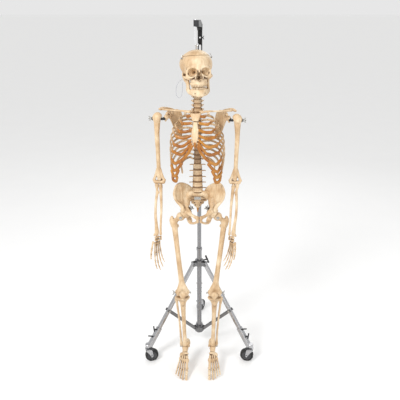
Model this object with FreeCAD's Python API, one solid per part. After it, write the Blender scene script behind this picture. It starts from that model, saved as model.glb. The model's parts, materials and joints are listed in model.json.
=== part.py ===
import FreeCAD, Part
import os
from math import atan2, cos, degrees, radians, sin, tan

from FreeCAD import Placement, Rotation
from FreeCAD import Vector as V

# A life-size human skeleton that hangs by the crown of its skull from a folding, rolling stand.
# Millimetres. The origin is on the floor under the column's axis, +Z is up, the skeleton faces -Y,
# and its right side is at -X. SIDES gives the sign of X for each side.
SIDES = {"right": -1, "left": 1}
DOWN, UP, ACROSS, BACK = V(0, 0, -1), V(0, 0, 1), V(1, 0, 0), V(0, 1, 0)
GAP = 0.3  # clearance between pieces that move past each other
RUNNING = 0.06  # radial clearance of a shaft in its bore

# ---- stand ----
COLUMN_R, COLUMN_BORE_R, COLUMN_LOW, COLUMN_TOP = 13.5, 11.06, 92, 640
MAST_R, MAST_LOW, MAST_TOP = 11, 150, 1690
HUB_Z, HUB_PIVOT_R = 112, 30
COLLAR_Z, COLLAR_PIVOT_R = 545, 38
LEG_END_R, LEG_END_Z, LEG_WIDTH = 330, 92, 19
BRACE_SHARE = 0.56  # where the brace meets the leg, from the collar's pivot
PIN_R = 3
BRACE_WIDTH, SLOT, SLOT_R = 15, 5, 4.2  # the bolt runs this far each way in the brace's slotted end
LEG_AZIMUTHS = {"right": 210, "left": 330, "rear": 90}
CASTER_R, WHEEL_R, WHEEL_WIDTH, CASTER_TRAIL = 338, 37.5, 28, 20
CASTER_YAWS = {"right": 12, "left": 168, "rear": 60}  # which way each wheel trails its stem

# ---- hanging bracket: a channel up the mast's front and an arm reaching over the crown ----
CHANNEL_X, CHANNEL_WIDTH, CHANNEL_WALL = 4, 22, 3
CHANNEL_BACK, CHANNEL_FRONT, CHANNEL_LOW = 10, 34, 1600
ARM_TOP_Z, ARM_LOW_Z, ARM_REACH = 1850, 1823, 150
BRACKET_HOLE_R, BRACKET_HOLE_Z = 4, 1768
ROD_R, ROD_OFFSET = 2.6, 7  # the hook's rod hangs beside the line over the crown

# ---- head ----
HANG = V(-13, -157, 1723)  # the crown, under the bracket's arm
HEAD_ORIGIN = V(-11, -168, 1608)  # between the ears
HEAD_YAW, HEAD_PITCH, HEAD_ROLL = 8, -8, -2
SKULL = V(74, 90, 65)  # half breadth, half length and half height of the braincase
BRAIN_CENTRE = V(0, -5, 50)
SKULL_WALL = 6
CUT_Z = 86  # the sawn line of the removable cap, above the ears
SHANK_R = 3
EYE_RISE = 17  # the middle of the eye above the crown
CATCH = V(67.5, -26, 78)  # the left catch's screw, in the head's frame
JAW_AXIS = V(0, -10, -6)
NECK_ROD_TOP = V(-8, -149.5, 1578)  # where the rod enters the spine

# ---- spine: height and depth of the bodies' centres, from the atlas to the sacrum ----
SPINE_LINE = [(1578, -166), (1520, -171), (1447, -160), (1370, -141), (1290, -134), (1197, -148),
              (1103, -164), (1045, -160), (1028, -156)]
SPINE_X = -8
TRUNK_TURN = -5.5  # the chest faces a little to its right
TRUNK_AXIS = V(SPINE_X, -145, 0)

# ---- limbs: joint centres per side ----
SHOULDER_HALF, SHOULDER_Y, SHOULDER_Z = 193, -170, 1404
BOLT_REACH = 24  # the bolt's hinge inside the shoulder, and its nut outside, from the joint's middle
HUMERAL_HEAD_UP, SPOOL_R = 9, 9
ELBOW = {"right": V(-200, -176, 1092), "left": V(180, -176, 1089)}
WRIST = {"right": V(-211, -226, 822), "left": V(168, -226, 819)}
HIP_SOCKET_X, HIP_HEAD_X, HIP_Y = 71, 94, -190
HIP_SOCKET_Z, HIP_HEAD_Z = 930, 910
HEAD_R = 22.5
HIP_NUT = 36  # the wing nut's seat inside the pelvis, from the socket's middle
KNEE = {"right": V(-88, -268, 506), "left": V(82, -268, 504)}
ANKLE = {"right": V(-79, -220, 136), "left": V(75, -220, 137)}
FOOT_YAW = {"right": -12, "left": 6}
FOOT_PITCH = 33  # how far the hanging foot points down


# ---------------------------------------------------------------- tools
def ball(centre, radius):
    return Part.makeSphere(radius, V(centre))


def bar(a, b, r, r_end=None):
    """A round bar or taper from a to b."""
    a, b = V(a), V(b)
    if r_end is None or abs(r_end - r) < 1e-6:
        return Part.makeCylinder(r, (b - a).Length, a, b - a)
    return Part.makeCone(r, r_end, (b - a).Length, a, b - a)


def block(centre, size):
    """A box by its centre and its three sizes."""
    c, s = V(centre), V(*size)
    return Part.makeBox(s.x, s.y, s.z, c - s * 0.5)


def ellipsoid(centre, half):
    """An ellipsoid by its centre and half sizes."""
    m = FreeCAD.Matrix()
    m.scale(half[0], half[1], half[2])
    shape = Part.makeSphere(1).transformGeometry(m)
    shape.translate(V(centre))
    return shape


def join(*shapes):
    """One solid from overlapping shapes."""
    shape = shapes[0].fuse(list(shapes[1:])) if len(shapes) > 1 else shapes[0]
    shape = shape.removeSplitter()
    if len(shape.Solids) != 1:
        raise ValueError(f"join left {len(shape.Solids)} solids")
    return shape.Solids[0]


def turned(a, b, radii, steps=None):
    """A turned solid from a to b: its radii at even steps, or at the shares in steps, along a smooth line."""
    a, b = V(a), V(b)
    length = (b - a).Length
    steps = steps or [i / (len(radii) - 1) for i in range(len(radii))]
    line = [V(r, 0, t * length) for r, t in zip(radii, steps)]
    curve = Part.BSplineCurve()
    curve.interpolate(line)
    edges = [Part.makeLine(V(0, 0, 0), line[0]), curve.toShape(),
             Part.makeLine(line[-1], V(0, 0, length)), Part.makeLine(V(0, 0, length), V(0, 0, 0))]
    solid = Part.Face(Part.Wire(edges)).revolve(V(0, 0, 0), UP, 360)
    solid.Placement = Placement(a, Rotation(UP, b - a))
    return solid


def path(points, share=0.45):
    """Straight runs joined by tangent arcs, each as large as its runs allow. Returns the wire and its radii."""
    p = [V(q) for q in points]
    edges, here, radii = [], p[0], []
    for a, b, c in zip(p, p[1:], p[2:]):
        into, out = (b - a).normalize(), (c - b).normalize()
        half = into.getAngle(out) / 2
        if half < 0.002:
            continue
        run = share * min((b - a).Length, (c - b).Length)
        radius = run / tan(half)
        inward = (out - into).normalize()
        centre = b + inward * (radius / cos(half))
        start, end = b - into * run, b + out * run
        edges.append(Part.makeLine(here, start))
        edges.append(Part.Arc(start, centre - inward * radius, end).toShape())
        here = end
        radii.append(radius)
    edges.append(Part.makeLine(here, p[-1]))
    return Part.Wire(edges), radii


def bent(points, radius, share=0.45):
    """A round bar along a path."""
    wire, _ = path(points, share)
    first = (V(points[1]) - V(points[0])).normalize()
    ring = Part.Wire(Part.makeCircle(radius, V(points[0]), first))
    return wire.makePipeShell([ring], True, True).Solids[0]


def plate(outline, thickness, smooth=True):
    """A flat plate in the XY plane from its outline, centred on z = 0."""
    points = [V(x, y, -thickness / 2) for x, y in outline]
    if smooth:
        curve = Part.BSplineCurve()
        curve.interpolate(points, True)
        wire = Part.Wire(curve.toShape())
    else:
        wire = Part.makePolygon(points + points[:1])
    return Part.Face(wire).extrude(V(0, 0, thickness))


def oval(centre, width, depth, height):
    """An upright oval block with its centre at the given point."""
    c = V(centre)
    curve = Part.Ellipse(V(c.x, c.y, c.z - height / 2), width / 2, depth / 2)
    return Part.Face(Part.Wire(curve.toShape())).extrude(V(0, 0, height))


def spun(shape, base, axis, angle):
    """A copy turned about a line."""
    copy = shape.copy()
    copy.rotate(V(base), V(axis), angle)
    return copy


def lerp(a, b, t):
    return a + (b - a) * t


def spine_y(z):
    """Depth of the spine's line at a height."""
    for (z0, y0), (z1, y1) in zip(SPINE_LINE, SPINE_LINE[1:]):
        if z >= z1:
            return lerp(y0, y1, (z0 - z) / (z0 - z1))
    return SPINE_LINE[-1][1]


def in_trunk(shape):
    """Turns a shape, or a point, with the chest."""
    if isinstance(shape, FreeCAD.Vector):
        turn = Rotation(UP, TRUNK_TURN)
        return turn.multVec(shape - TRUNK_AXIS) + TRUNK_AXIS
    return spun(shape, TRUNK_AXIS, UP, TRUNK_TURN)


HEAD_PLACE = Placement(HEAD_ORIGIN, Rotation(UP, HEAD_YAW) * Rotation(BACK, HEAD_ROLL) * Rotation(ACROSS, HEAD_PITCH))


def in_head(shape):
    """Places a shape, or a point, of the head's own frame."""
    if isinstance(shape, FreeCAD.Vector):
        return HEAD_PLACE.multVec(shape)
    copy = shape.copy()
    copy.Placement = HEAD_PLACE.multiply(copy.Placement)
    return copy


def wing_nut(base, direction, span_axis, size=1.0):
    """A nut with two wings; base is its seat."""
    base, d, w = V(base), V(direction).normalize(), V(span_axis).normalize()
    boss = Part.makeCylinder(5 * size, 7 * size, base, d)
    wings = [bar(base + d * 4 * size, base + d * 11 * size + w * (s * 12 * size), 2.2 * size) for s in (-1, 1)]
    return join(boss, *wings)


# ---------------------------------------------------------------- stand
def radial(azimuth, r, z):
    a = radians(azimuth)
    return V(r * cos(a), r * sin(a), z)


def tangent(azimuth):
    a = radians(azimuth)
    return V(-sin(a), cos(a), 0)


def in_azimuth(shape, azimuth):
    return spun(shape, V(0, 0, 0), UP, azimuth)


def ring(r_out, r_in, z_low, z_high):
    return Part.makeCylinder(r_out, z_high - z_low, V(0, 0, z_low)).cut(
        Part.makeCylinder(r_in, z_high - z_low + 2, V(0, 0, z_low - 1)))


def fork_lug(azimuth, r_in, pivot_r, z, gap, height):
    """Two ears either side of a bar, and the pin through them."""
    half = gap / 2 + 0.5
    ears = [Part.makeBox(pivot_r + 7 - r_in, 4, height, V(r_in, side * (half + 2) - 2, z - height / 2))
            for side in (-1, 1)]
    pin = bar(V(pivot_r, -half - 6, z), V(pivot_r, half + 6, z), PIN_R)
    return [in_azimuth(shape, azimuth) for shape in ears + [pin]]


def make_stand(parts):
    column = ring(COLUMN_R, COLUMN_BORE_R, COLUMN_LOW, COLUMN_TOP - 6)
    clamp = ring(COLUMN_R + 2.5, COLUMN_R, COLUMN_TOP - 14, COLUMN_TOP - 6).fuse(
        ring(COLUMN_R + 2.5, COLUMN_BORE_R, COLUMN_TOP - 6, COLUMN_TOP))
    parts["column_outer"] = [join(column, clamp)]
    hub = ring(22, COLUMN_R, HUB_Z - 20, HUB_Z + 14).fuse(Part.makeCylinder(22, 8, V(0, 0, HUB_Z - 28)))
    collar = ring(24, COLUMN_R + RUNNING, COLLAR_Z - 16, COLLAR_Z + 18)
    for azimuth in LEG_AZIMUTHS.values():
        hub = hub.fuse(fork_lug(azimuth, 11, HUB_PIVOT_R, HUB_Z, LEG_WIDTH + 8, 16))
        collar = collar.fuse(fork_lug(azimuth, 20, COLLAR_PIVOT_R, COLLAR_Z, LEG_WIDTH, 22))
    parts["base_hub"] = [join(hub)]
    handle_axis, handle_side = radial(30, 1, 0), tangent(30)
    seat = V(0, 0, COLLAR_Z + 8)
    collar = collar.cut(bar(seat, seat + handle_axis * 30, 4 + RUNNING))
    parts["leg_collar"] = [join(collar)]
    # the T-handle that locks the collar, on the side between the left and rear legs
    tip = seat + handle_axis * 52
    wing = handle_side * 17 + V(0, 0, 14)
    parts["collar_handle"] = [join(bar(seat + handle_axis * 15, tip, 4), bar(tip - wing, tip + wing, 4.5))]
    for name, azimuth in LEG_AZIMUTHS.items():
        parts[f"tripod_leg_{name}"] = make_leg(azimuth)
        parts[f"brace_{name}"] = make_brace(azimuth)
        fork, wheel = make_caster(azimuth, CASTER_YAWS[name])
        parts[f"caster_fork_{name}"] = fork
        parts[f"caster_wheel_{name}"] = wheel
    parts["column_inner"] = [ring(MAST_R, MAST_R - 1.6, MAST_LOW, MAST_TOP)]
    parts["hanger_bracket"] = make_bracket()
    parts["hanging_rod"] = make_hanging_rod()


LEG_TOP, LEG_END = V(COLLAR_PIVOT_R, 0, COLLAR_Z), V(LEG_END_R, 0, LEG_END_Z)
BRACE_FOOT, BRACE_TOP = V(HUB_PIVOT_R, 0, HUB_Z), LEG_TOP + (LEG_END - LEG_TOP) * BRACE_SHARE


def make_leg(azimuth):
    """A square tube with the sleeve that holds its caster, two wing screws and the brace's bolt."""
    along = (LEG_END - LEG_TOP).normalize()
    length = (LEG_END - LEG_TOP).Length
    w = LEG_WIDTH
    tube = Part.makeBox(w, w, length + 6, V(-w / 2, -w / 2, -8))
    tube = tube.cut(Part.makeBox(w - 4, w - 4, length + 8, V(2 - w / 2, 2 - w / 2, -9)))
    tube = tube.cut(bar(V(0, -w, 0), V(0, w, 0), PIN_R + RUNNING))
    sleeve = Part.makeBox(w + 8, w + 8, 118, V(-w / 2 - 4, -w / 2 - 4, length - 124))
    core = Part.makeBox(w, w, 200, V(-w / 2, -w / 2, length - 190))
    for solid in (tube, sleeve, core):
        solid.Placement = Placement(LEG_TOP, Rotation(UP, along))
    stem_top = V(CASTER_R, 0, 2 * WHEEL_R + 30)
    clamp = join(sleeve, bar(stem_top - V(0, 0, 20), stem_top, 15)).cut(core)
    clamp = max(clamp.Solids, key=lambda s: s.Volume)
    outward = V(-along.z, 0, along.x)
    screws = []
    for distance, tilt in ((length - 108, 1), (length - 62, -1)):
        seat = LEG_TOP + along * distance + outward * (w / 2 + 4)
        tip = seat + outward * 16
        wing = (along * 0.55 + V(0, tilt, 0)).normalize() * 17
        screws.append(join(bar(seat, tip, 3.5), bar(tip - wing, tip + wing, 4)))
    bolt = bar(BRACE_TOP - V(0, w / 2 + 8, 0), BRACE_TOP + V(0, w / 2 + 8, 0), PIN_R)
    heads = [bar(BRACE_TOP + V(0, s * (w / 2 + 4.6), 0), BRACE_TOP + V(0, s * (w / 2 + 8), 0), 6) for s in (-1, 1)]
    tube = join(tube, bolt, *heads)
    return [in_azimuth(solid, azimuth) for solid in [tube, clamp] + screws]


def make_brace(azimuth):
    """Two flat bars from the hub, one each side of the leg, whose slotted ends ride on the leg's bolt."""
    along = BRACE_TOP - BRACE_FOOT
    reach = along.Length
    bars = []
    for side in (-1, 1):
        y = side * (LEG_WIDTH / 2 + 2.5)
        strip = Part.makeBox(BRACE_WIDTH, 3, reach + 21, V(-BRACE_WIDTH / 2, y - 1.5, -7))
        strip = strip.cut(bar(V(0, y - 3, 0), V(0, y + 3, 0), PIN_R + RUNNING))
        slot = Part.makeBox(2 * SLOT_R, 6, 2 * SLOT, V(-SLOT_R, y - 3, reach - SLOT))
        ends = [bar(V(0, y - 3, reach + end), V(0, y + 3, reach + end), SLOT_R) for end in (-SLOT, SLOT)]
        strip = strip.cut([slot] + ends)
        strip.Placement = Placement(BRACE_FOOT, Rotation(UP, along))
        bars.append(in_azimuth(strip, azimuth))
    return bars


def make_caster(azimuth, yaw):
    """A swivel fork with its axle, and the wheel that turns on it."""
    top = 2 * WHEEL_R + 10
    trail = V(CASTER_R + CASTER_TRAIL, 0, WHEEL_R)
    crown = Part.makeCylinder(17, 4, V(CASTER_R, 0, top - 4 - GAP))
    half = WHEEL_WIDTH / 2 + 2
    outline = [(CASTER_R - 14, top - 5), (CASTER_R + 16, top - 5), (trail.x + 9, WHEEL_R - 4),
               (trail.x, WHEEL_R - 10), (trail.x - 10, WHEEL_R - 3)]
    plates = []
    for side in (-1, 1):
        face = Part.Face(Part.makePolygon([V(x, side * half - 1.25, z) for x, z in outline + outline[:1]]))
        plates.append(face.extrude(V(0, 2.5, 0)))
    bridge = Part.makeBox(30, 2 * half + 2.5, 3, V(CASTER_R - 14, -half - 1.25, top - 7))
    axle = bar(trail - V(0, half + 4, 0), trail + V(0, half + 4, 0), 4)
    fork = join(crown, bridge, *plates, axle)
    wheel = Part.makeCylinder(WHEEL_R, WHEEL_WIDTH, trail - V(0, WHEEL_WIDTH / 2, 0), BACK)
    wheel = wheel.makeFillet(5, [e for e in wheel.Edges if isinstance(e.Curve, Part.Circle)])
    wheel = wheel.cut(bar(trail - V(0, 30, 0), trail + V(0, 30, 0), 4 + RUNNING))
    return [[in_azimuth(spun(shape, V(CASTER_R, 0, 0), UP, yaw - azimuth), azimuth)] for shape in (fork, wheel)]


def side_plate(outline, width):
    """A slab across X from its (forward, up) outline; forward is -Y."""
    face = Part.Face(Part.makePolygon([V(-width / 2, -r, z) for r, z in outline + outline[:1]]))
    return face.extrude(V(width, 0, 0))


def make_bracket():
    """A channel bolted to the mast's front, and the arm that reaches over the skull."""
    wall, back, front = CHANNEL_WALL, CHANNEL_BACK, CHANNEL_FRONT
    inner = CHANNEL_WIDTH - 2 * wall
    post = side_plate([(back, CHANNEL_LOW), (back, 1806), (20, 1826), (front, 1830), (front, CHANNEL_LOW)],
                      CHANNEL_WIDTH)
    post = post.cut(side_plate([(back + 6, CHANNEL_LOW - 1), (back + 6, 1803), (front + 1, 1803),
                                (front + 1, CHANNEL_LOW - 1)], inner))
    post.translate(V(CHANNEL_X, 0, 0))
    post = post.cut(Part.makeCylinder(MAST_R, MAST_TOP - CHANNEL_LOW + 10, V(0, 0, CHANNEL_LOW - 5)))
    # the arm starts inside the post's head and points at the crown
    arm = side_plate([(0, 1806), (0, 1828), (70, ARM_TOP_Z), (ARM_REACH, ARM_TOP_Z), (ARM_REACH, ARM_LOW_Z),
                      (26, 1816), (8, 1800)], CHANNEL_WIDTH + 2)
    arm = arm.cut(side_plate([(10, 1795), (10, 1822), (74, ARM_TOP_Z - wall), (ARM_REACH - 26, ARM_TOP_Z - wall),
                              (ARM_REACH - 26, 1795)], inner + 2))
    heading = degrees(atan2(HANG.x - CHANNEL_X, -HANG.y - back))
    arm = spun(arm, V(0, 0, 0), UP, heading)
    arm.translate(V(CHANNEL_X, -back - 6, 0))
    bracket = join(post, arm)
    rod = rod_axis(0)
    bracket = bracket.cut(bar(V(rod.x, rod.y, ARM_LOW_Z - 9), V(rod.x, rod.y, ARM_TOP_Z + 9), ROD_R + RUNNING))
    bracket = bracket.cut(bar(V(CHANNEL_X, 0, BRACKET_HOLE_Z), V(CHANNEL_X, -60, BRACKET_HOLE_Z), BRACKET_HOLE_R))
    slot = [bar(V(CHANNEL_X, 0, z), V(CHANNEL_X, -60, z), 5.5) for z in (1708, 1730)]
    slot.append(Part.makeBox(11, 60, 22, V(CHANNEL_X - 5.5, -60, 1708)))
    bracket = max(bracket.cut(slot).Solids, key=lambda s: s.Volume)
    flank = CHANNEL_X + CHANNEL_WIDTH / 2
    screws = [wing_nut(V(flank, -24, BRACKET_HOLE_Z), ACROSS, UP, 0.7)]
    screws += [bar(V(CHANNEL_X, -CHANNEL_BACK - 6, z), V(CHANNEL_X, -CHANNEL_BACK - 11, z), 5) for z in (1622, 1668)]
    return [bracket] + screws


def rod_axis(z):
    return V(HANG.x - ROD_OFFSET, HANG.y, z)


def make_hanging_rod():
    """A bright rod through the arm's nose, with a head above and a hook through the crown's eye below."""
    x, y = rod_axis(0).x, HANG.y
    head = Part.makeCylinder(7, 4, V(x, y, ARM_TOP_Z + GAP))
    low = HANG.z + EYE_RISE - 1
    rod = bent([V(x, y, ARM_TOP_Z + 2), V(x, y, low + 10), V(x + 1, y, low + 4), V(HANG.x, y, low - 1.5),
                V(HANG.x + 7, y, low + 3), V(HANG.x + 9, y, low + 10)], ROD_R)
    return [join(head, rod)]


# ---------------------------------------------------------------- head
def braincase(grow=0):
    return ellipsoid(BRAIN_CENTRE, (SKULL.x + grow, SKULL.y + grow, SKULL.z + grow))


def make_head(parts):
    shell = braincase().cut(braincase(-SKULL_WALL))
    far = 400
    above = Part.makeBox(far, far, far, V(-far / 2, -far / 2, CUT_Z + 0.25))
    below = Part.makeBox(far, far, far, V(-far / 2, -far / 2, CUT_Z - 0.25 - far))
    rod = bar(NECK_ROD_TOP - NECK_ROD_DIR * 60, HANG + NECK_ROD_DIR * 40, SHANK_R + 1)
    cap = in_head(shell.common(above)).cut(rod)
    parts["skull_cap"] = [max(cap.Solids, key=lambda s: s.Volume)]
    case = shell.common(below)
    upper = Part.makeLoft([Part.Wire(Part.Ellipse(V(0, -58, 22), 48, 30).toShape()),
                           Part.Wire(Part.Ellipse(V(0, -64, -8), 46, 26).toShape()),
                           Part.Wire(Part.Ellipse(V(0, -66, -34), 30, 24).toShape()),
                           Part.Wire(Part.Ellipse(V(0, -66, -50), 27, 23).toShape())], True)
    base = turned(V(0, 5, -16), V(0, 8, 4), [18, 26, 34])
    pieces = [upper.cut(braincase(-SKULL_WALL)), base.cut(braincase(-SKULL_WALL))]
    for s in (-1, 1):
        pieces.append(bent([V(s * 40, -66, -6), V(s * 58, -48, -5), V(s * 64, -25, -3), V(s * 60, 2, 0)], 4.5))
        pieces.append(turned(V(s * 50, 14, 6), V(s * 46, 10, -30), [16, 13, 6]))
    face = case.fuse(pieces)
    sockets = [turned(V(s * 26, -102, 14), V(s * 16, -50, 14), [21, 20, 15, 6]) for s in (-1, 1)]
    nose = turned(V(0, -100, -12), V(0, -52, -10), [13, 12, 10, 5])
    screws = [bar(V(s * (CATCH.x + 5), CATCH.y, CATCH.z), V(s * (CATCH.x - 20), CATCH.y, CATCH.z), 2.2 + RUNNING)
              for s in (-1, 1)]
    face = in_head(face.cut(sockets + [nose] + screws)).cut(rod)
    parts["cranium"] = [max(face.Solids, key=lambda s: s.Volume)]
    parts["mandible"] = [in_head(make_mandible())]
    for name, side in SIDES.items():
        parts[f"cap_catch_{name}"] = [in_head(make_catch(side))]
    eye_centre = HANG + NECK_ROD_DIR * EYE_RISE
    eye = Part.makeTorus(6.5, 2, eye_centre, ACROSS)
    shank = bar(HANG - NECK_ROD_DIR * 24, eye_centre - NECK_ROD_DIR * 6.5, SHANK_R)
    nut = bar(HANG - NECK_ROD_DIR * 24, HANG - NECK_ROD_DIR * 18, 6)
    parts["skull_eyebolt"] = [join(eye, shank, nut)]


def make_catch(side):
    """A small hook that turns on a screw and holds the cap down."""
    base = V(side * CATCH.x, CATCH.y, CATCH.z)
    out = V(side, 0, 0)
    screw = bar(base - out * 14, base + out * 3.2, 2.2)
    arm = Part.makeBox(1.6, 6, 20, V(min(base.x, base.x + side * 1.6), base.y - 3, base.z - 3))
    return join(screw, arm)


NECK_ROD_DIR = (HANG - NECK_ROD_TOP).normalize()


def make_mandible():
    """A U-shaped body with a ramus and a condyle on each side."""
    body = bent([V(-46, -8, -66), V(-40, -44, -80), V(-22, -76, -88), V(0, -84, -89),
                 V(22, -76, -88), V(40, -44, -80), V(46, -8, -66)], 8)
    teeth = bent([V(-25, -44, -64), V(-22, -64, -67), V(0, -80, -68), V(22, -64, -67), V(25, -44, -64)], 5)
    link = [bar(V(s * 36, -50, -80), V(s * 24, -46, -64), 6) for s in (-1, 1)]
    chin = bar(V(0, -81, -86), V(0, -77, -68), 8)
    rami = []
    for s in (-1, 1):
        rami.append(bar(V(s * 46, -12, -66), V(s * 52, -6, -26), 9, 6))
        rami.append(bar(V(s * 52, -6, -26), V(s * 52, JAW_AXIS.y, JAW_AXIS.z - 6), 5))
    return join(body, teeth, chin, *link, *rami)


# ---------------------------------------------------------------- spine
def vertebra(z, height, width, depth, spinous, across, drop=0):
    """A body with its arch, spinous process and side processes; z is the body's middle."""
    y = spine_y(z)
    body = oval(V(SPINE_X, y, z), width, depth, height)
    canal = 7.5 + depth * 0.05
    ring_y = y + depth / 2 + canal - 0.8
    arch_h = height * 0.5
    arch = Part.makeCylinder(canal + 3.5, arch_h, V(SPINE_X, ring_y, z - arch_h / 2))
    hole = Part.makeCylinder(canal, height * 2, V(SPINE_X, ring_y, z - height))
    back = V(SPINE_X, ring_y + canal + 1, z)
    tip = back + V(0, spinous, -drop)
    spine = bar(back, tip, arch_h * 0.43, arch_h * 0.3)
    sides = [bar(V(SPINE_X + s * (canal + 1), ring_y, z), V(SPINE_X + s * across, ring_y + 4, z), 3, 2.6)
             for s in (-1, 1)]
    made = body.fuse([arch.cut(hole), spine] + sides)
    return max(made.Solids, key=lambda s: s.Volume)


CERVICAL = dict(top=1585, bottom=1437, count=7, body=0.72, width=(24, 30), depth=(15, 17), spinous=(10, 22),
                across=(24, 26))
THORACIC = dict(top=1437, bottom=1182, count=12, body=0.78, width=(27, 39), depth=(18, 28), spinous=(22, 20),
                across=(24, 20))
LUMBAR = dict(top=1182, bottom=1030, count=5, body=0.80, width=(42, 49), depth=(29, 33), spinous=(22, 20),
              across=(38, 42))


def levels(region):
    """Each vertebra's middle height, pitch and share from top to bottom."""
    pitch = (region["top"] - region["bottom"]) / region["count"]
    last = max(region["count"] - 1, 1)
    return [(region["top"] - (i + 0.5) * pitch, pitch, i / last) for i in range(region["count"])]


def make_spine(parts):
    discs = []
    for name, region in (("cervical", CERVICAL), ("thoracic", THORACIC), ("lumbar", LUMBAR)):
        solids = []
        for z, pitch, t in levels(region):
            height = pitch * region["body"]
            width, depth = lerp(*region["width"], t), lerp(*region["depth"], t)
            solids.append(vertebra(z, height, width, depth, lerp(*region["spinous"], t),
                                   lerp(*region["across"], t), 6 if name == "thoracic" else 1.5))
            low, next_high = z - height / 2, z - pitch + height / 2
            discs.append(oval(V(SPINE_X, spine_y((low + next_high) / 2), (low + next_high) / 2),
                              width * 0.9, depth * 0.88, (low - next_high) * 0.98))
        parts[f"{name}_vertebrae"] = solids
    # the first gap is above the atlas and has no disc; the last lies on the sacrum
    parts["discs"] = discs
    canal = [V(SPINE_X, spine_y(z) + back, z) for z, back in
             ((1500, 16.7), (1440, 16.8), (1380, 18.2), (1290, 21), (1200, 22.4), (1120, 24), (1060, 25.5))]
    top = HANG - NECK_ROD_DIR * 20
    parts["spinal_rod"] = [bent([top, NECK_ROD_TOP] + canal, SHANK_R - 0.4)]


def make_sacrum(parts):
    y = spine_y(1030)
    x = SPINE_X
    sections = []
    for z, back, wide, deep in ((1028, 0, 54, 20), (1000, 14, 44, 15), (970, 28, 30, 10), (945, 30, 16, 7)):
        sections.append(Part.Wire(Part.Ellipse(V(x, y + back, z), wide, deep).toShape()))
    body = Part.makeLoft(sections, True)
    body = body.cut(bar(V(x, y + 24, 1040), V(x, y + 26, 1005), 7))
    tail = turned(V(x, y + 30, 944), V(x, y + 20, 915), [6.5, 5.5, 2.5], [0, 0.4, 1])
    parts["sacrum"] = [max(body.Solids, key=lambda s: s.Volume), tail]


# ---------------------------------------------------------------- chest
# per rib: half width, then the front end's x, y and z
RIBS = [(56, 40, -222, 1428), (84, 58, -246, 1398), (104, 74, -250, 1361), (118, 88, -248, 1336),
        (127, 101, -244, 1297), (131, 109, -238, 1261), (133, 117, -228, 1219), (133, 121, -214, 1184),
        (130, 122, -204, 1153), (124, 119, -198, 1133), (108, 100, -172, 1122), (84, 78, -142, 1128)]
RIB_R, CARTILAGE_R = 4.0, 4.2
STERNUM_TOP, STERNUM_ANGLE, STERNUM_LOW = 1448, 1409, 1312


def rib_points(i):
    """A rib's path on the left side, from beside its vertebra to its front end."""
    half, end_x, end_y, end_z = RIBS[i]
    mid, pitch, _ = levels(THORACIC)[i]
    top = mid + pitch * 0.5
    y = spine_y(mid)
    back = y + lerp(20, 40, min(i, 7) / 7)
    drop = top - end_z
    depth = back - end_y
    width = lerp(27, 39, i / 11) / 2
    points = [(width + 6.5, y + 2, top), (half * 0.5, back, top - drop * 0.06),
              (half * 0.84, back - depth * 0.13, top - drop * 0.24), (half, back - depth * 0.42, top - drop * 0.52)]
    if depth > 60:
        points.append((lerp(half, end_x, 0.45), back - depth * 0.74, top - drop * 0.79))
    points.append((end_x, end_y, end_z))
    return [V(SPINE_X + x, yy, z) for x, yy, z in points]


def sternum_y(z):
    return lerp(-232, -272, (STERNUM_TOP - z) / (STERNUM_TOP - STERNUM_LOW))


# where each cartilage reaches the breastbone or the cartilage above: x, z and the sag before it
TRUE_ENDS = [(26, 1432), (19, 1402), (17, 1372), (19, 1346), (19, 1326), (16, 1312)]
# the costal margin: way points of the cartilages that join it, on the left side
MARGIN = [[(98, -252, 1207), (66, -266, 1226), (34, -276, 1262), (14, -276, 1298)],
          [(106, -240, 1168), (86, -254, 1181), (64, -264, 1210)],
          [(108, -228, 1136), (95, -242, 1144), (82, -251, 1170)],
          [(114, -214, 1112), (98, -226, 1108), (90, -238, 1132)]]


def mirrored(points, side):
    """Left-side points carried to a side, about the spine."""
    return [V(SPINE_X + side * (p.x - SPINE_X), p.y, p.z) for p in points]


def cartilage_points(i):
    start = rib_points(i)[-1]
    before = rib_points(i)[-2]
    start = start + (start - before).normalize() * 0.4
    if i < 6:
        x, z = TRUE_ENDS[i]
        y = sternum_y(z)
        sag = (0, 2, 5, 8, 16, 26)[i]
        middle = V(SPINE_X + lerp(x, start.x - SPINE_X, 0.5), y + 4, lerp(z, start.z, 0.55) - sag)
        return [start, middle, V(SPINE_X + x, y, z)]
    return [start] + [V(SPINE_X + x, y, z) for x, y, z in MARGIN[i - 6]]


def make_chest(parts):
    parts["ribs"] = [in_trunk(bent(mirrored(rib_points(i), side), RIB_R))
                     for side in SIDES.values() for i in range(12)]
    cartilage = []
    for side in SIDES.values():
        for i in range(10):
            cartilage.append(in_trunk(bent(mirrored(cartilage_points(i), side), CARTILAGE_R)))
    parts["costal_cartilage"] = cartilage
    tilt = degrees(atan2(40, STERNUM_TOP - STERNUM_LOW))
    high = STERNUM_TOP - STERNUM_ANGLE
    low = STERNUM_ANGLE - STERNUM_LOW
    manubrium = plate([(-27, 0), (-12, -3), (12, -3), (27, 0), (20, -20), (11, -high + 1), (-11, -high + 1), (-20, -20)],
                      9, False)
    body = plate([(-10, -high - 1), (10, -high - 1), (10, -high - 20), (14, -high - low * 0.7), (9, -high - low),
                  (-9, -high - low), (-14, -high - low * 0.7), (-10, -high - 20)], 8, False)
    tip = plate([(-6, -high - low - 1), (6, -high - low - 1), (3, -high - low - 20), (-3, -high - low - 20)], 5, False)
    top = V(SPINE_X, sternum_y(STERNUM_TOP), STERNUM_TOP)
    place = Placement(top, Rotation(ACROSS, 90 - tilt))
    sternum = []
    for solid in (manubrium, body, tip):
        solid.Placement = place
        sternum.append(in_trunk(solid))
    parts["sternum"] = sternum
    make_girdle(parts)


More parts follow.
